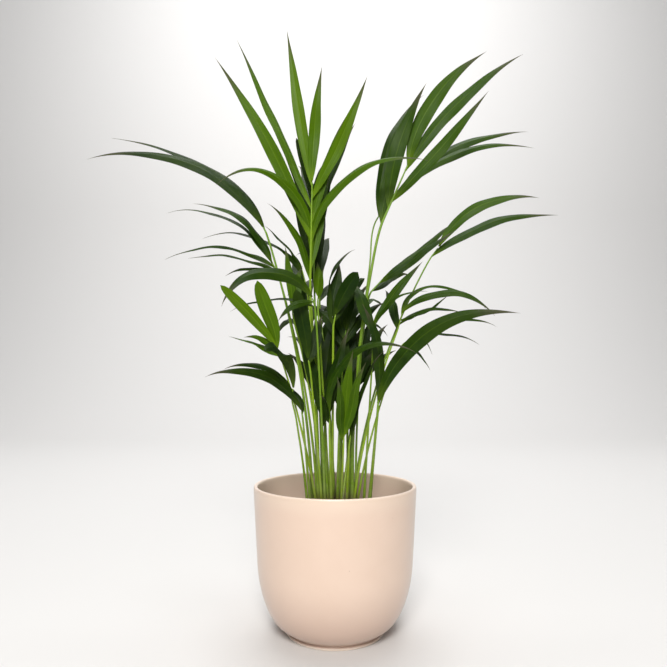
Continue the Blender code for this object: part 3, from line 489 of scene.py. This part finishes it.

# %% [markdown]
# ## The stalk finish
#
# The stalks are smooth and yellow-green, streaked lengthwise, and they turn a deeper green towards the leafy
# end. A pale waxy bloom and small brown flecks gather low down, and the last centimetre over the soil is
# dull and brownish.


# %% Stalk material
def stalk_finish():
    material, tree, shader = new_finish("green_stalk")
    along, seed, young = stored(tree, "along"), stored(tree, "seed"), stored(tree, "young")
    low = stored(tree, "rise")
    fresh = mixed(tree, young, colour(0.125, 0.250, 0.004), colour(0.360, 0.530, 0.005))
    streak = streaked(tree, 7.0, 5.0, seed)
    shade = mixed(tree, maths(tree, "MULTIPLY", streak, 0.40), fresh, colour(0.050, 0.125, 0.002))
    leafy = ranged(tree, along, 0.70, 1.0, 0.0, 0.45)
    shade = mixed(tree, leafy, shade, colour(0.12, 0.25, 0.006))
    bloom = maths(tree, "MULTIPLY", ranged(tree, low, 0.02, 0.12, 0.35, 0.0), mottled(tree, 60.0))
    shade = mixed(tree, bloom, shade, colour(0.42, 0.48, 0.20))

    place = put(tree, "TexCoord").outputs["Object"]
    spots = put(tree, "TexVoronoi", {"Vector": place, "Scale": 260.0}, feature="F1").outputs["Distance"]
    thin = put(tree, "TexNoise", {"Vector": place, "Scale": 45.0}).outputs["Fac"]
    near_spot, some_places = ranged(tree, spots, 0.10, 0.20, 1.0, 0.0), ranged(tree, thin, 0.55, 0.68)
    flecks = maths(tree, "MULTIPLY", near_spot, some_places)
    shade = mixed(tree, maths(tree, "MULTIPLY", flecks, 0.6), shade, colour(0.09, 0.055, 0.020))
    earthy = ranged(tree, low, 0.0, 0.018, 0.85, 0.0)
    shade = mixed(tree, earthy, shade, colour(0.11, 0.075, 0.035))

    rough = maths(tree, "ADD", maths(tree, "MULTIPLY", streak, 0.15), 0.34)
    bump = put(tree, "Bump", {"Height": streak, "Strength": 0.3, "Distance": 0.0003}).outputs[0]
    feed(tree, shader, Base_Color=shade, Roughness=rough, Normal=bump, Specular_IOR_Level=0.5)
    feed(tree, shader, Subsurface_Weight=0.15, Subsurface_Radius=(0.6, 1.0, 0.15), Subsurface_Scale=0.001)
    return material


STALK = stalk_finish()
print("stalk finish nodes:", len(STALK.node_tree.nodes))

# %% [markdown]
# ## The shape of one leaflet
#
# The real blade is folded along its midrib like a shallow roof, ribbed by a few veins, widest a little before
# its middle, and drawn out to a fine point. It is thin but solid, so it is modelled as a flattened sleeve:
# each ring goes across the top of the blade from one margin to the other and back along the underside.

# %% One leaflet as a flattened sleeve
BLADE_THICKNESS = 0.00042
BLADE_STEP = 0.0038  # between a blade's rings
BLADE_RINGS = (14, 60)  # the fewest and the most
ROOF_ANGLE = math.radians(13)
TOP_POINTS = 13  # across the upper side, margins included
PLEAT_DEPTH = 0.00012
SIDEWAYS = 0.0022  # how far a long blade strays to one side near its tip


def outline(share, blunt):
    """Width along the blade as a share of its most, from two halves of curves that meet at the widest place.

    Towards the base it is sin(90 degrees * place / widest)^0.62. Towards the tip, t goes from 0 to 1: a
    pointed blade's width is (1 - t^1.7)^1.35 with a bristle of 5 % near its tip, and a blunt one's is
    (1 - t^2.6)^0.6.
    """
    widest = 0.56 if blunt else 0.44
    rising = np.sin(np.pi / 2 * np.clip(share / widest, 0.03, 1)) ** 0.62
    t = np.clip((share - widest) / (1 - widest), 0, 1)
    falling = (1 - t**2.6) ** 0.6 if blunt else np.maximum((1 - t**1.7) ** 1.35, 0.05 * (1 - t**12))
    return np.where(share < widest, rising, falling)


def blade_arrays(sections, seat, tip, toward):
    """Points, quads, triangles and the stored numbers of one leaflet.

    Point = middle + across * (v * half width) + normal * roof, where v runs from -1 to 1 between margins.
    Roof = a ridge over the midrib, less a slope towards the margins, plus shallow pleats between the veins.
    """
    middles = np.concatenate([[seat], sections.mean(axis=1), [tip]])
    reach = distances_along(middles)
    places = reach / reach[-1]
    count = int(np.clip(round(reach[-1] / BLADE_STEP), *BLADE_RINGS))
    share = np.linspace(0, 1, count)
    middle = near(places, middles, share)
    step = 0.004
    along = unit(near(places, middles, share + step) - near(places, middles, share - step))

    shapes = [long_and_short(section) for section in sections]
    sides = np.array([shape[0] for shape in shapes])
    for k in range(1, len(sides)):
        sides[k] *= np.sign(sides[k] @ sides[k - 1])
    here = unit(np.gradient(middles, axis=0))[1:-1]
    if np.sum(np.cross(sides, here) @ toward) < 0:
        sides = -sides
    sides = np.concatenate([sides[:1], sides, sides[-1:]])
    across = square_to(through(places, sides, share), along)
    normal = np.cross(across, along)

    widths = np.array([shape[1] for shape in shapes])
    blunt = widths[-1] > 0.55 * widths.max()
    most = widths.max() * (1.0 if blunt else 1.06)
    half = np.maximum(most * outline(share, blunt) / 2, 0.0)

    phase = chance.uniform(0, 2 * math.pi, 3)
    size = min(1.0, reach[-1] / 0.12)
    sway = 0.0013 * np.sin(2 * math.pi * share * 1.7 + phase[0]) * share * (1 - share) * 4
    flick = SIDEWAYS * chance.uniform(-1, 1) * np.sin(math.pi * share) * np.sin(math.pi * share**2)
    middle = middle + normal * (sway * size)[:, None] + across * (flick * size)[:, None]

    v = np.linspace(-1, 1, TOP_POINTS)
    slack = np.abs(v)
    ridge = np.exp(-((v / 0.07) ** 2)) * 0.00016
    slope = -(np.sqrt(v**2 + 0.004) - math.sqrt(0.004)) * math.tan(ROOF_ANGLE * chance.uniform(0.6, 1.25))
    pleats = PLEAT_DEPTH * np.cos(v * math.pi * 5) * (1 - slack**2)
    ripple = 0.05 * np.sin(2 * math.pi * (share[:, None] * 4.3) + phase[1] + v * 2) * slack**2
    fullness = (half / max(half.max(), 1e-9))[:, None]
    roof = half[:, None] * (slope + ripple) + (ridge + pleats) * fullness
    keel = 1 + 0.8 * np.exp(-((v / 0.12) ** 2))
    thick = BLADE_THICKNESS / 2 * (1 - slack**6) * (0.4 + 0.6 * fullness) * keel

    flat = middle[:, None] + across[:, None] * (v * half[:, None])[..., None]
    upper = flat + normal[:, None] * (roof + thick)[..., None]
    lower = flat + normal[:, None] * (roof - thick)[..., None]
    rings = np.concatenate([upper, lower[:, -2:0:-1]], axis=1)[:-1]
    around = rings.shape[1]
    points = np.concatenate([rings.reshape(-1, 3), [middle[0] - along[0] * 0.0004], [tip]])
    quads, triangles = sleeve_faces(len(rings), around)
    quads, triangles = outward_faces(points, quads, triangles)

    v_ring = np.concatenate([v, v[-2:0:-1]])
    under = np.concatenate([np.zeros(TOP_POINTS), np.ones(TOP_POINTS - 2)])
    numbers = {
        "across": np.concatenate([np.tile(v_ring, len(rings)), [0, 0]]),
        "along": np.concatenate([np.repeat(share[:-1], around), [0, 1]]),
        "under": np.concatenate([np.tile(under, len(rings)), [0.5, 0.5]]),
        "length": np.full(len(points), reach[-1]),
        "pointed": np.full(len(points), 0.0 if blunt else 1.0),
    }
    return points, quads, triangles, numbers


# %% [markdown]
# ## The shape of a stalk
#
# A stalk is a tube along a spline through the CAD rings. It has a shallow channel down the side that faces
# the leaflets, thickens into a sheath near the soil, and thins along the rachis until it is lost under the
# last leaflet. It starts a little under the soil, so no gap shows at its foot.

# %% One stalk as a channelled tube
STALK_SIDES = 14
BURIED = 0.004  # how far under its CAD foot a stalk starts
LEAST_APART = 0.0025  # between the route points that the spline passes through
STALK_STEP = 0.0035  # between a tube's rings
STALK_FULLNESS = 1.12  # a round stalk's radius as a share of the square CAD one's half width


def stalk_arrays(middles, halves):
    """Points, faces and stored numbers of one stalk.

    Point = middle + radius * (side * cos a + front * sin a), with the radius dipping where a faces the front.
    """
    buried = middles[0] - unit(middles[1] - middles[0]) * BURIED
    middles, halves = np.concatenate([[buried], middles]), np.concatenate([halves[:1], halves])
    apart = distances_along(middles)
    keep = [0]
    for k in range(1, len(apart)):
        if apart[k] - apart[keep[-1]] > LEAST_APART:
            keep.append(k)
    middles, halves = middles[keep], halves[keep]
    reach = distances_along(middles)
    wanted = np.arange(0, reach[-1], STALK_STEP)
    middle = through(reach, middles, wanted)
    radius = np.interp(wanted, reach, halves) * STALK_FULLNESS
    along = unit(np.gradient(middle, axis=0))
    front = square_to(np.tile([0.0, -1.0, 0.15], (len(middle), 1)), along)
    side = np.cross(along, front)
    angle = 2 * math.pi * np.arange(STALK_SIDES) / STALK_SIDES
    facing = np.angle(np.exp(1j * (angle - math.pi / 2)))
    share = wanted / reach[-1]
    channel = 1 - 0.16 * np.exp(-((facing / 0.5) ** 2)) * np.clip(share * 3 - 0.6, 0, 1)[:, None]
    knots = 1 + 0.05 * np.sin(wanted * 160 + chance.uniform(0, 6))[:, None] * np.exp(-wanted / 0.06)[:, None]
    spread = radius[:, None] * channel * knots
    ring = side[:, None] * (spread * np.cos(angle))[..., None]
    ring = ring + front[:, None] * (spread * np.sin(angle))[..., None]
    points = (middle[:, None] + ring).reshape(-1, 3)
    points = np.concatenate([points, [middle[0] - along[0] * 0.001], [middle[-1] + along[-1] * 0.001]])
    quads, triangles = sleeve_faces(len(middle), STALK_SIDES)
    quads, triangles = outward_faces(points, quads, triangles)
    numbers = {
        "across": np.concatenate([np.tile(np.cos(angle), len(middle)), [0, 0]]),
        "along": np.concatenate([np.repeat(share, STALK_SIDES), [0, 1]]),
        "rise": np.concatenate([np.repeat(wanted - BURIED, STALK_SIDES), [0, reach[-1]]]),
        "length": np.full(len(points), reach[-1]),
    }
    return points, quads, triangles, numbers


# %% [markdown]
# ## Growing the fronds
#
# Each frond becomes one piece: its stalk and its leaflets, with a finish for each. The fronds don't share one
# green. The top fan and a few new shoots are bright, the ones deep inside the plant are dark, a frond's
# lowest leaflets are its oldest, and each leaflet differs a little from its neighbours.

# %% Grow the fronds
YOUTH = {
    "top_fan": 0.86,
    "front_left_fan": 0.80,
    "left_young": 0.72,
    "centre_young": 0.95,
    "centre_spear": 0.85,
    "right_top": 0.50,
    "right_top_back": 0.42,
    "right_fan": 0.45,
    "right_reach": 0.50,
    "right_broad": 0.45,
    "right_low": 0.38,
    "right_pair": 0.40,
    "right_inner": 0.35,
    "top_back": 0.28,
    "low_young": 0.78,
    "centre_dark": 0.14,
    "centre_back": 0.20,
    "dark_left": 0.08,
    "dark_mid": 0.06,
    "dark_right": 0.12,
    "back_low_left": 0.18,
    "back_low_right": 0.18,
    "front_dark_tall": 0.10,
    "front_dark_short": 0.16,
    "low_left_arch": 0.16,
    "low_left_pair": 0.25,
    "big_arch": 0.36,
}
USUAL_YOUTH = 0.34
OLDER_BELOW = 0.18  # how much older a frond's lowest leaflet is than its highest
STORED = ("along", "across", "under", "rise", "seed", "young", "pointed")


def grow(name):
    """Joins a frond's stalk and leaflets into one piece that stands for its CAD node."""
    stalk, leaflets = plans[name]
    youth = YOUTH.get(name[6:], USUAL_YOUTH)
    parts = [(0, *stalk_arrays(*stalk))]
    behind = stalk[0][:, 1].mean() > 0.03
    toward = np.array([0.0, -0.35, 1.0]) if behind else np.array([0.0, -1.0, 0.6])
    parts += [(1, *blade_arrays(*leaflet, toward)) for leaflet in leaflets]
    points, quads, triangles, quad_finish, triangle_finish = [], [], [], [], []
    numbers = {key: [] for key in STORED + ("length",)}
    heights = [corners[0, 2] for finish, corners, *_ in parts if finish]
    lowest, span = min(heights), max(np.ptp(heights), 0.01)
    start = 0
    for finish, corners, fours, threes, given in parts:
        points.append(corners)
        quads.append(fours + start)
        triangles.append(threes + start)
        quad_finish.append(np.full(len(fours), finish))
        triangle_finish.append(np.full(len(threes), finish))
        start += len(corners)
        old = OLDER_BELOW * (1 - (corners[0, 2] - lowest) / span) if finish else 0.0
        blade = np.clip(youth - old + chance.normal(0, 0.05), 0, 1) if finish else chance.uniform(0.1, 1.0)
        own = {"seed": chance.uniform(0, 1), "young": blade}
        for key, values in numbers.items():
            values.append(given.get(key, np.full(len(corners), own.get(key, 0.0))))
    piece = build_mesh(
        "palm_" + name[6:],
        np.concatenate(points),
        np.concatenate(quads),
        np.concatenate(triangles),
        [STALK, LEAF],
        np.concatenate(quad_finish + triangle_finish),
    )
    joined = {key: np.concatenate(values) for key, values in numbers.items()}
    surface_map(piece, joined["across"], joined["along"] * joined["length"] / 0.1)
    for key in STORED:
        point_values(piece, key, joined[key])
    piece.data.set_sharp_from_angle(angle=math.radians(75))
    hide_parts(name)
    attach(piece, "root")
    return piece


grown = [grow(name) for name in fronds]
print("faces in the fronds:", sum(len(piece.data.polygons) for piece in grown))

# %% [markdown]
# ## The cover pot
#
# The pot is slip-cast stoneware: a nearly straight wall, a full round shoulder, a small foot ring and a soft,
# rounded lip, in a satin blush glaze. Its profile is read from the CAD pot by walking its mesh up one column
# of corners. Each corner of the profile is then replaced by a short curve, and the profile is turned about
# the axis.


# %% Turned pieces from their CAD profiles
def profile_of(node):
    """A turned CAD node's (radius, height) points, walked edge by edge from the lowest point on its axis."""
    corners, joined = merged_corners(node)
    column = np.flatnonzero((np.abs(corners[:, 1]) < 1e-5) & (corners[:, 0] > -1e-5))
    start = column[np.lexsort((corners[column, 2], corners[column, 0] > 1e-5))[0]]
    order = [start]
    while True:
        onward = [k for k in column if joined[order[-1], k] and k not in order]
        if not onward:
            return corners[order][:, [0, 2]]
        order.append(onward[0])


def rounded(profile, most, steps=6):
    """Each inner point P becomes a curve (1-s)^2 A + 2s(1-s) P + s^2 B.

    A and B lie on the segments on either side of P, up to most away from it and never past their middles.
    """
    before, point, after = profile[:-2], profile[1:-1], profile[2:]
    back, forth = before - point, after - point
    back_length = np.linalg.norm(back, axis=1, keepdims=True)
    forth_length = np.linalg.norm(forth, axis=1, keepdims=True)
    a = point + back * np.minimum(0.5, most / back_length)
    b = point + forth * np.minimum(0.5, most / forth_length)
    s = np.linspace(0, 1, steps)[None, :, None]
    curve = (1 - s) ** 2 * a[:, None] + 2 * s * (1 - s) * point[:, None] + s**2 * b[:, None]
    return np.concatenate([profile[:1], curve.reshape(-1, 2), profile[-1:]])


def turned(name, profile, around, materials):
    """A profile from axis to axis, turned about Z: x = r cos a, y = r sin a, z = height."""
    inner = profile[1:-1]
    inner = inner[np.concatenate([[True], np.linalg.norm(np.diff(inner, axis=0), axis=1) > 1e-6])]
    angle = 2 * math.pi * np.arange(around) / around
    radius, height = inner[:, :1], inner[:, 1:]
    rings = np.stack([radius * np.cos(angle), radius * np.sin(angle), height + 0 * angle], axis=-1)
    poles = np.array([[0, 0, profile[0, 1]], [0, 0, profile[-1, 1]]])
    points = np.concatenate([rings.reshape(-1, 3), poles])
    quads, triangles = outward_faces(points, *sleeve_faces(len(inner), around))
    return build_mesh(name, points, quads, triangles, materials)


# %% [markdown]
# The glaze is a thin, slightly milky glass over a pale clay body: even in colour, with faint clouds, a soft
# highlight that is broken a little by the glaze's own waviness, and the odd pinhole or iron speck. It thins
# over the lip and pulls away from the foot ring, where the bare, drier clay shows. Light and shade are also
# painted into its colour: a painted highlight, a lighter cream band just under the lip, and a painted shade
# that turns the lower wall darker and mauver towards the foot.


# %% Glaze material
def glaze_finish():
    material, tree, shader = new_finish("blush_glaze")
    place = put(tree, "TexCoord").outputs["Object"]
    height = put(tree, "SeparateXYZ", {0: place}).outputs["Z"]
    cloud = mottled(tree, 9.0)
    clouded = maths(tree, "MULTIPLY", cloud, 0.5)
    body = mixed(tree, clouded, colour(0.76, 0.580, 0.465), colour(0.80, 0.625, 0.510))
    # Painted shade: the wall is painted darker and mauver from 7.5 cm down to the foot, standing in for the
    # light falling off under the shoulder.
    lower_painted_shade = ranged(tree, height, 0.008, 0.075, 0.75, 0.0)
    body = mixed(tree, lower_painted_shade, body, colour(0.60, 0.435, 0.355))
    # Painted highlight: a lighter cream band is painted over the top 2 cm of the wall, strongest in the last 6
    # mm under the lip.
    painted_lip_highlight = ranged(tree, height, cad_pot_top - 0.020, cad_pot_top - 0.006, 0.0, 0.30)
    body = mixed(tree, painted_lip_highlight, body, colour(0.84, 0.70, 0.56))
    thin = ranged(tree, height, cad_pot_top - 0.0022, cad_pot_top - 0.0004, 0.0, 0.45)
    body = mixed(tree, thin, body, colour(0.86, 0.71, 0.60))
    bare = ranged(tree, height, 0.0016, 0.0032, 1.0, 0.0)
    body = mixed(tree, bare, body, colour(0.78, 0.66, 0.56))

    spots = put(tree, "TexVoronoi", {"Vector": place, "Scale": 150.0}).outputs["Distance"]
    rare = put(tree, "TexNoise", {"Vector": place, "Scale": 37.0}).outputs["Fac"]
    near_spot, some_places = ranged(tree, spots, 0.05, 0.11, 1.0, 0.0), ranged(tree, rare, 0.66, 0.72)
    specks = maths(tree, "MULTIPLY", near_spot, some_places)
    body = mixed(tree, maths(tree, "MULTIPLY", specks, 0.45), body, colour(0.30, 0.18, 0.11))

    waves = put(tree, "TexNoise", {"Vector": place, "Scale": 55.0, "Detail": 2.0}).outputs["Fac"]
    grain = put(tree, "TexNoise", {"Vector": place, "Scale": 900.0, "Detail": 2.0}).outputs["Fac"]
    relief = maths(tree, "ADD", maths(tree, "MULTIPLY", waves, 0.7), maths(tree, "MULTIPLY", grain, 0.12))
    relief = maths(tree, "SUBTRACT", relief, maths(tree, "MULTIPLY", specks, 0.3))
    bump = put(tree, "Bump", {"Height": relief, "Strength": 0.22, "Distance": 0.0006}).outputs[0]
    rough = maths(tree, "ADD", maths(tree, "MULTIPLY", cloud, 0.05), 0.30)
    rough = maths(tree, "ADD", rough, maths(tree, "MULTIPLY", bare, 0.35))
    feed(tree, shader, Base_Color=body, Roughness=rough, Normal=bump, Specular_IOR_Level=0.5)
    feed(tree, shader, Coat_Weight=0.25, Coat_Roughness=0.14)
    return material


GLAZE_ROUNDING = 0.006  # how far from a CAD corner its curve may start
POT_SIDES = 176
cad_pot_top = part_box("cover_pot")[1].z
GLAZE = glaze_finish()
cover = turned("cover_pot_glazed", rounded(profile_of("cover_pot"), GLAZE_ROUNDING), POT_SIDES, [GLAZE])
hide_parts("cover_pot")
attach(cover, "root")
print("cover pot faces:", len(cover.data.polygons))

# %% [markdown]
# ## The nursery pot
#
# Inside stands the thin black pot that the palm was grown in, its rolled rim just under the soil's crown. It
# is moulded polypropylene: dull, scuffed and dusted with potting mix.


# %% Nursery pot
def plastic_finish():
    material, tree, shader = new_finish("scuffed_plastic")
    place = put(tree, "TexCoord").outputs["Object"]
    drifts = put(tree, "TexNoise", {"Vector": place, "Scale": 70.0, "Detail": 5.0}).outputs["Fac"]
    dust = ranged(tree, drifts, 0.5, 0.7)
    dusted = maths(tree, "MULTIPLY", dust, 0.55)
    shade = mixed(tree, dusted, colour(0.022, 0.021, 0.020), colour(0.11, 0.075, 0.048))
    rough = maths(tree, "ADD", maths(tree, "MULTIPLY", dust, 0.35), 0.42)
    scuffs = put(tree, "TexNoise", {"Vector": place, "Scale": 420.0, "Detail": 3.0}).outputs["Fac"]
    bump = put(tree, "Bump", {"Height": scuffs, "Strength": 0.2, "Distance": 0.0003}).outputs[0]
    feed(tree, shader, Base_Color=shade, Roughness=rough, Normal=bump)
    return material


PLASTIC = plastic_finish()
NURSERY_ROUNDING = 0.0012
NURSERY_SIDES = 112
rolled = rounded(profile_of("grow_pot"), NURSERY_ROUNDING, 4)
nursery = turned("nursery_pot", rolled, NURSERY_SIDES, [PLASTIC])
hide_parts("grow_pot")
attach(nursery, "root")
print("nursery pot faces:", len(nursery.data.polygons))

# %% [markdown]
# ## The root ball and its crumbs
#
# The potting mix is bark fines, coir and a little perlite. Its top is a lumpy dome. The dome is the CAD
# profile turned on a fine grid and pushed up and down by a few waves of random direction, and loose crumbs
# lie on it. One crumb is a ball of a few dozen faces, and all the crumbs are that ball stretched and turned
# by whole arrays.


# %% Lumpy soil
LUMP_WAVES = 18
LUMP_HEIGHT = 0.11  # divided by each wave's frequency
SOIL_RIM = 0.004  # the height over which the lumps fade in from the ball's edge
SOIL_SIDES = 120


def lumps(x, y):
    """Height of the lumps: a sum of waves, sin(direction . place * frequency + phase), finer ones lower."""
    direction = chance.uniform(0, 2 * math.pi, LUMP_WAVES)
    frequency = np.geomspace(90, 900, LUMP_WAVES)
    phase = chance.uniform(0, 2 * math.pi, LUMP_WAVES)
    height = LUMP_HEIGHT / frequency
    wave = np.cos(direction) * x[..., None] + np.sin(direction) * y[..., None]
    return np.sum(height * np.sin(wave * frequency + phase), axis=-1)


def soil_finish():
    material, tree, shader = new_finish("potting_mix")
    place = put(tree, "TexCoord").outputs["Object"]
    grains = put(tree, "TexVoronoi", {"Vector": place, "Scale": 420.0})
    damp = mottled(tree, 30.0)
    shade = mixed(tree, grains.outputs["Color"], colour(0.030, 0.018, 0.011), colour(0.115, 0.068, 0.040))
    shade = mixed(tree, maths(tree, "MULTIPLY", damp, 0.5), shade, colour(0.022, 0.014, 0.010))
    strands = {"Vector": place, "Scale": 240.0, "Detail": 6.0, "Distortion": 1.5}
    fibre = put(tree, "TexNoise", strands).outputs["Fac"]
    shade = mixed(tree, ranged(tree, fibre, 0.62, 0.72, 0.0, 0.6), shade, colour(0.20, 0.125, 0.070))
    relief = maths(tree, "ADD", fibre, grains.outputs["Distance"])
    bump = put(tree, "Bump", {"Height": relief, "Strength": 0.8, "Distance": 0.0015}).outputs[0]
    feed(tree, shader, Base_Color=shade, Roughness=0.92, Normal=bump, Specular_IOR_Level=0.25)
    return material


SOIL = soil_finish()
soil_profile = rounded(profile_of("soil"), SOIL_RIM, 5)
fine = [np.linspace(a, b, 4)[:-1] for a, b in zip(soil_profile[:-1], soil_profile[1:])]
soil_profile = np.concatenate([*fine, soil_profile[-1:]])
bed = turned("soil_bed", soil_profile, SOIL_SIDES, [SOIL])
places = np.empty(len(bed.data.vertices) * 3, np.float32)
bed.data.vertices.foreach_get("co", places)
places = places.reshape(-1, 3)
edge_height = soil_profile[np.argmax(soil_profile[:, 0]), 1]
edge_radius = soil_profile[:, 0].max()
lift = np.clip((places[:, 2] - edge_height) / SOIL_RIM, 0, 1)
places[:, 2] += lift * lumps(places[:, 0], places[:, 1])
bed.data.vertices.foreach_set("co", places.ravel())
bed.data.update()
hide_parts("soil")
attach(bed, "root")
print("soil faces:", len(bed.data.polygons), "edge radius:", round(float(edge_radius), 4))


# %% Crumbs
BARK_COUNT, BARK_SIZE = 620, 0.0017
GRIT_COUNT, GRIT_SIZE = 46, 0.0011


def ball(rings=5, around=8):
    """A small ball as a sleeve: radius sin b and height -cos b for rings between its poles."""
    b = math.pi * np.arange(1, rings + 1) / (rings + 1)
    a = 2 * math.pi * np.arange(around) / around
    x, y = np.sin(b)[:, None] * np.cos(a), np.sin(b)[:, None] * np.sin(a)
    z = np.repeat(-np.cos(b)[:, None], around, axis=1)
    points = np.concatenate([np.stack([x, y, z], axis=-1).reshape(-1, 3), [[0, 0, -1], [0, 0, 1]]])
    return points, *outward_faces(points, *sleeve_faces(rings, around))


def crumbs(name, count, size, flatness, material):
    """Count stretched balls over the dome. Turns are random rotations made by factoring random matrices."""
    shape, quads, triangles = ball()
    radius = edge_radius * 0.97 * np.sqrt(chance.uniform(0, 1, count))
    angle = chance.uniform(0, 2 * math.pi, count)
    top = soil_profile[np.argmax(soil_profile[:, 0]) :]
    height = np.interp(radius, top[::-1, 0], top[::-1, 1])
    stretch = size * np.exp(chance.normal(0, 0.45, (count, 1))) * np.array([1.0, 0.7, flatness])
    stretch = stretch * chance.uniform(0.7, 1.3, (count, 3))
    turn, _ = np.linalg.qr(chance.normal(0, 1, (count, 3, 3)) * [1, 1, 0.2])
    rough = 1 + 0.22 * chance.normal(0, 1, (count, len(shape), 1)).clip(-1.5, 1.5)
    grown_up = shape[None] * rough * stretch[:, None]
    placed = np.einsum("nij,nkj->nki", turn, grown_up)
    middle = np.stack([radius * np.cos(angle), radius * np.sin(angle), height + size * 0.1], axis=1)
    points = (placed + middle[:, None]).reshape(-1, 3)
    offset = (np.arange(count) * len(shape))[:, None, None]
    quads = (quads[None] + offset).reshape(-1, 4)
    triangles = (triangles[None] + offset).reshape(-1, 3)
    return build_mesh(name, points, quads, triangles, [material])


def perlite_finish():
    material, tree, shader = new_finish("perlite")
    shade = mixed(tree, mottled(tree, 300.0), colour(0.72, 0.70, 0.66), colour(0.50, 0.46, 0.40))
    feed(tree, shader, Base_Color=shade, Roughness=0.9)
    return material


PERLITE = perlite_finish()
bark = crumbs("bark_crumbs", BARK_COUNT, BARK_SIZE, 0.45, SOIL)
grit = crumbs("perlite_grains", GRIT_COUNT, GRIT_SIZE, 0.8, PERLITE)
for piece in (bark, grit):
    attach(piece, "root")
print("crumb faces:", len(bark.data.polygons) + len(grit.data.polygons))

# %% [markdown]
# ## Floor, light and camera
#
# The plant stands on a plain pale floor that sweeps up far behind it. A large soft lamp lights it from the
# front, a weaker one from overhead, and a third is aimed at the sweep. The camera looks slightly upwards from
# just over the pot's rim.


# %% Floor and surroundings
FLOOR_REACH = 6.0  # towards the viewer, and up behind the plant
FLOOR_HALF_WIDTH = 7.0
FLOOR_FLAT = 2.0  # how far behind the plant the floor stays flat
SWEEP_RADIUS = 1.5


def floor_finish():
    material, tree, shader = new_finish("pale_floor")
    feed(tree, shader, Base_Color=colour(0.70, 0.69, 0.68), Roughness=0.8)
    return material


def sweep():
    """The floor, flat at first, then turning up behind the plant by a quarter circle into a tall sheet."""
    turn = np.linspace(0, math.pi / 2, 25)
    back = FLOOR_FLAT + SWEEP_RADIUS
    y = np.concatenate([[-FLOOR_REACH], FLOOR_FLAT + SWEEP_RADIUS * np.sin(turn), [back]])
    z = np.concatenate([[0.0], SWEEP_RADIUS * (1 - np.cos(turn)), [FLOOR_REACH]])
    x = np.array([-FLOOR_HALF_WIDTH, FLOOR_HALF_WIDTH])
    points = np.stack(np.broadcast_arrays(x[None], y[:, None], z[:, None]), axis=-1).reshape(-1, 3)
    row = 2 * np.arange(len(y) - 1)[:, None]
    return points, row + np.array([0, 1, 3, 2])


floor = build_mesh("floor", *sweep(), np.empty((0, 3), int), [floor_finish()])

world = bpy.data.worlds.new("studio")
world.use_nodes = True
world.node_tree.nodes["Background"].inputs["Color"].default_value = colour(0.95, 0.97, 1.0)
world.node_tree.nodes["Background"].inputs["Strength"].default_value = 0.15
bpy.context.scene.world = world


# %% Lamps
def lamp(name, place, target, size, power, shade=(1, 1, 1)):
    """A square soft lamp that faces a point."""
    light = bpy.data.lights.new(name, "AREA")
    light.size, light.energy, light.color = size, power, shade
    holder = bpy.data.objects.new(name, light)
    holder.location = place
    holder.rotation_euler = (Vector(target) - Vector(place)).to_track_quat("-Z", "Y").to_euler()
    bpy.context.scene.collection.objects.link(holder)
    return holder


MIDDLE = (0.0, 0.0, 0.30)
lamp("key", (-0.10, -1.8, 1.55), MIDDLE, 0.7, 49.0, (1.0, 0.985, 0.96))
lamp("overhead", (0.0, 0.2, 2.6), MIDDLE, 1.8, 5.0, (0.98, 0.99, 1.0))
lamp("backdrop", (0.0, 0.9, 3.6), (0.0, 3.4, 1.2), 2.4, 138.0)

# %% Camera
EYE = (-0.0017, -0.680, 0.272)
LOOKING_UP = 4.46  # degrees
camera = bpy.data.cameras.new("camera")
camera.lens = 32.4
camera.sensor_width = 36.0
viewer = bpy.data.objects.new("camera", camera)
viewer.location = EYE
viewer.rotation_euler = (math.radians(90 + LOOKING_UP), 0.0, 0.0)
bpy.context.scene.collection.objects.link(viewer)
bpy.context.scene.camera = viewer
bpy.context.scene.view_settings.view_transform = "Standard"
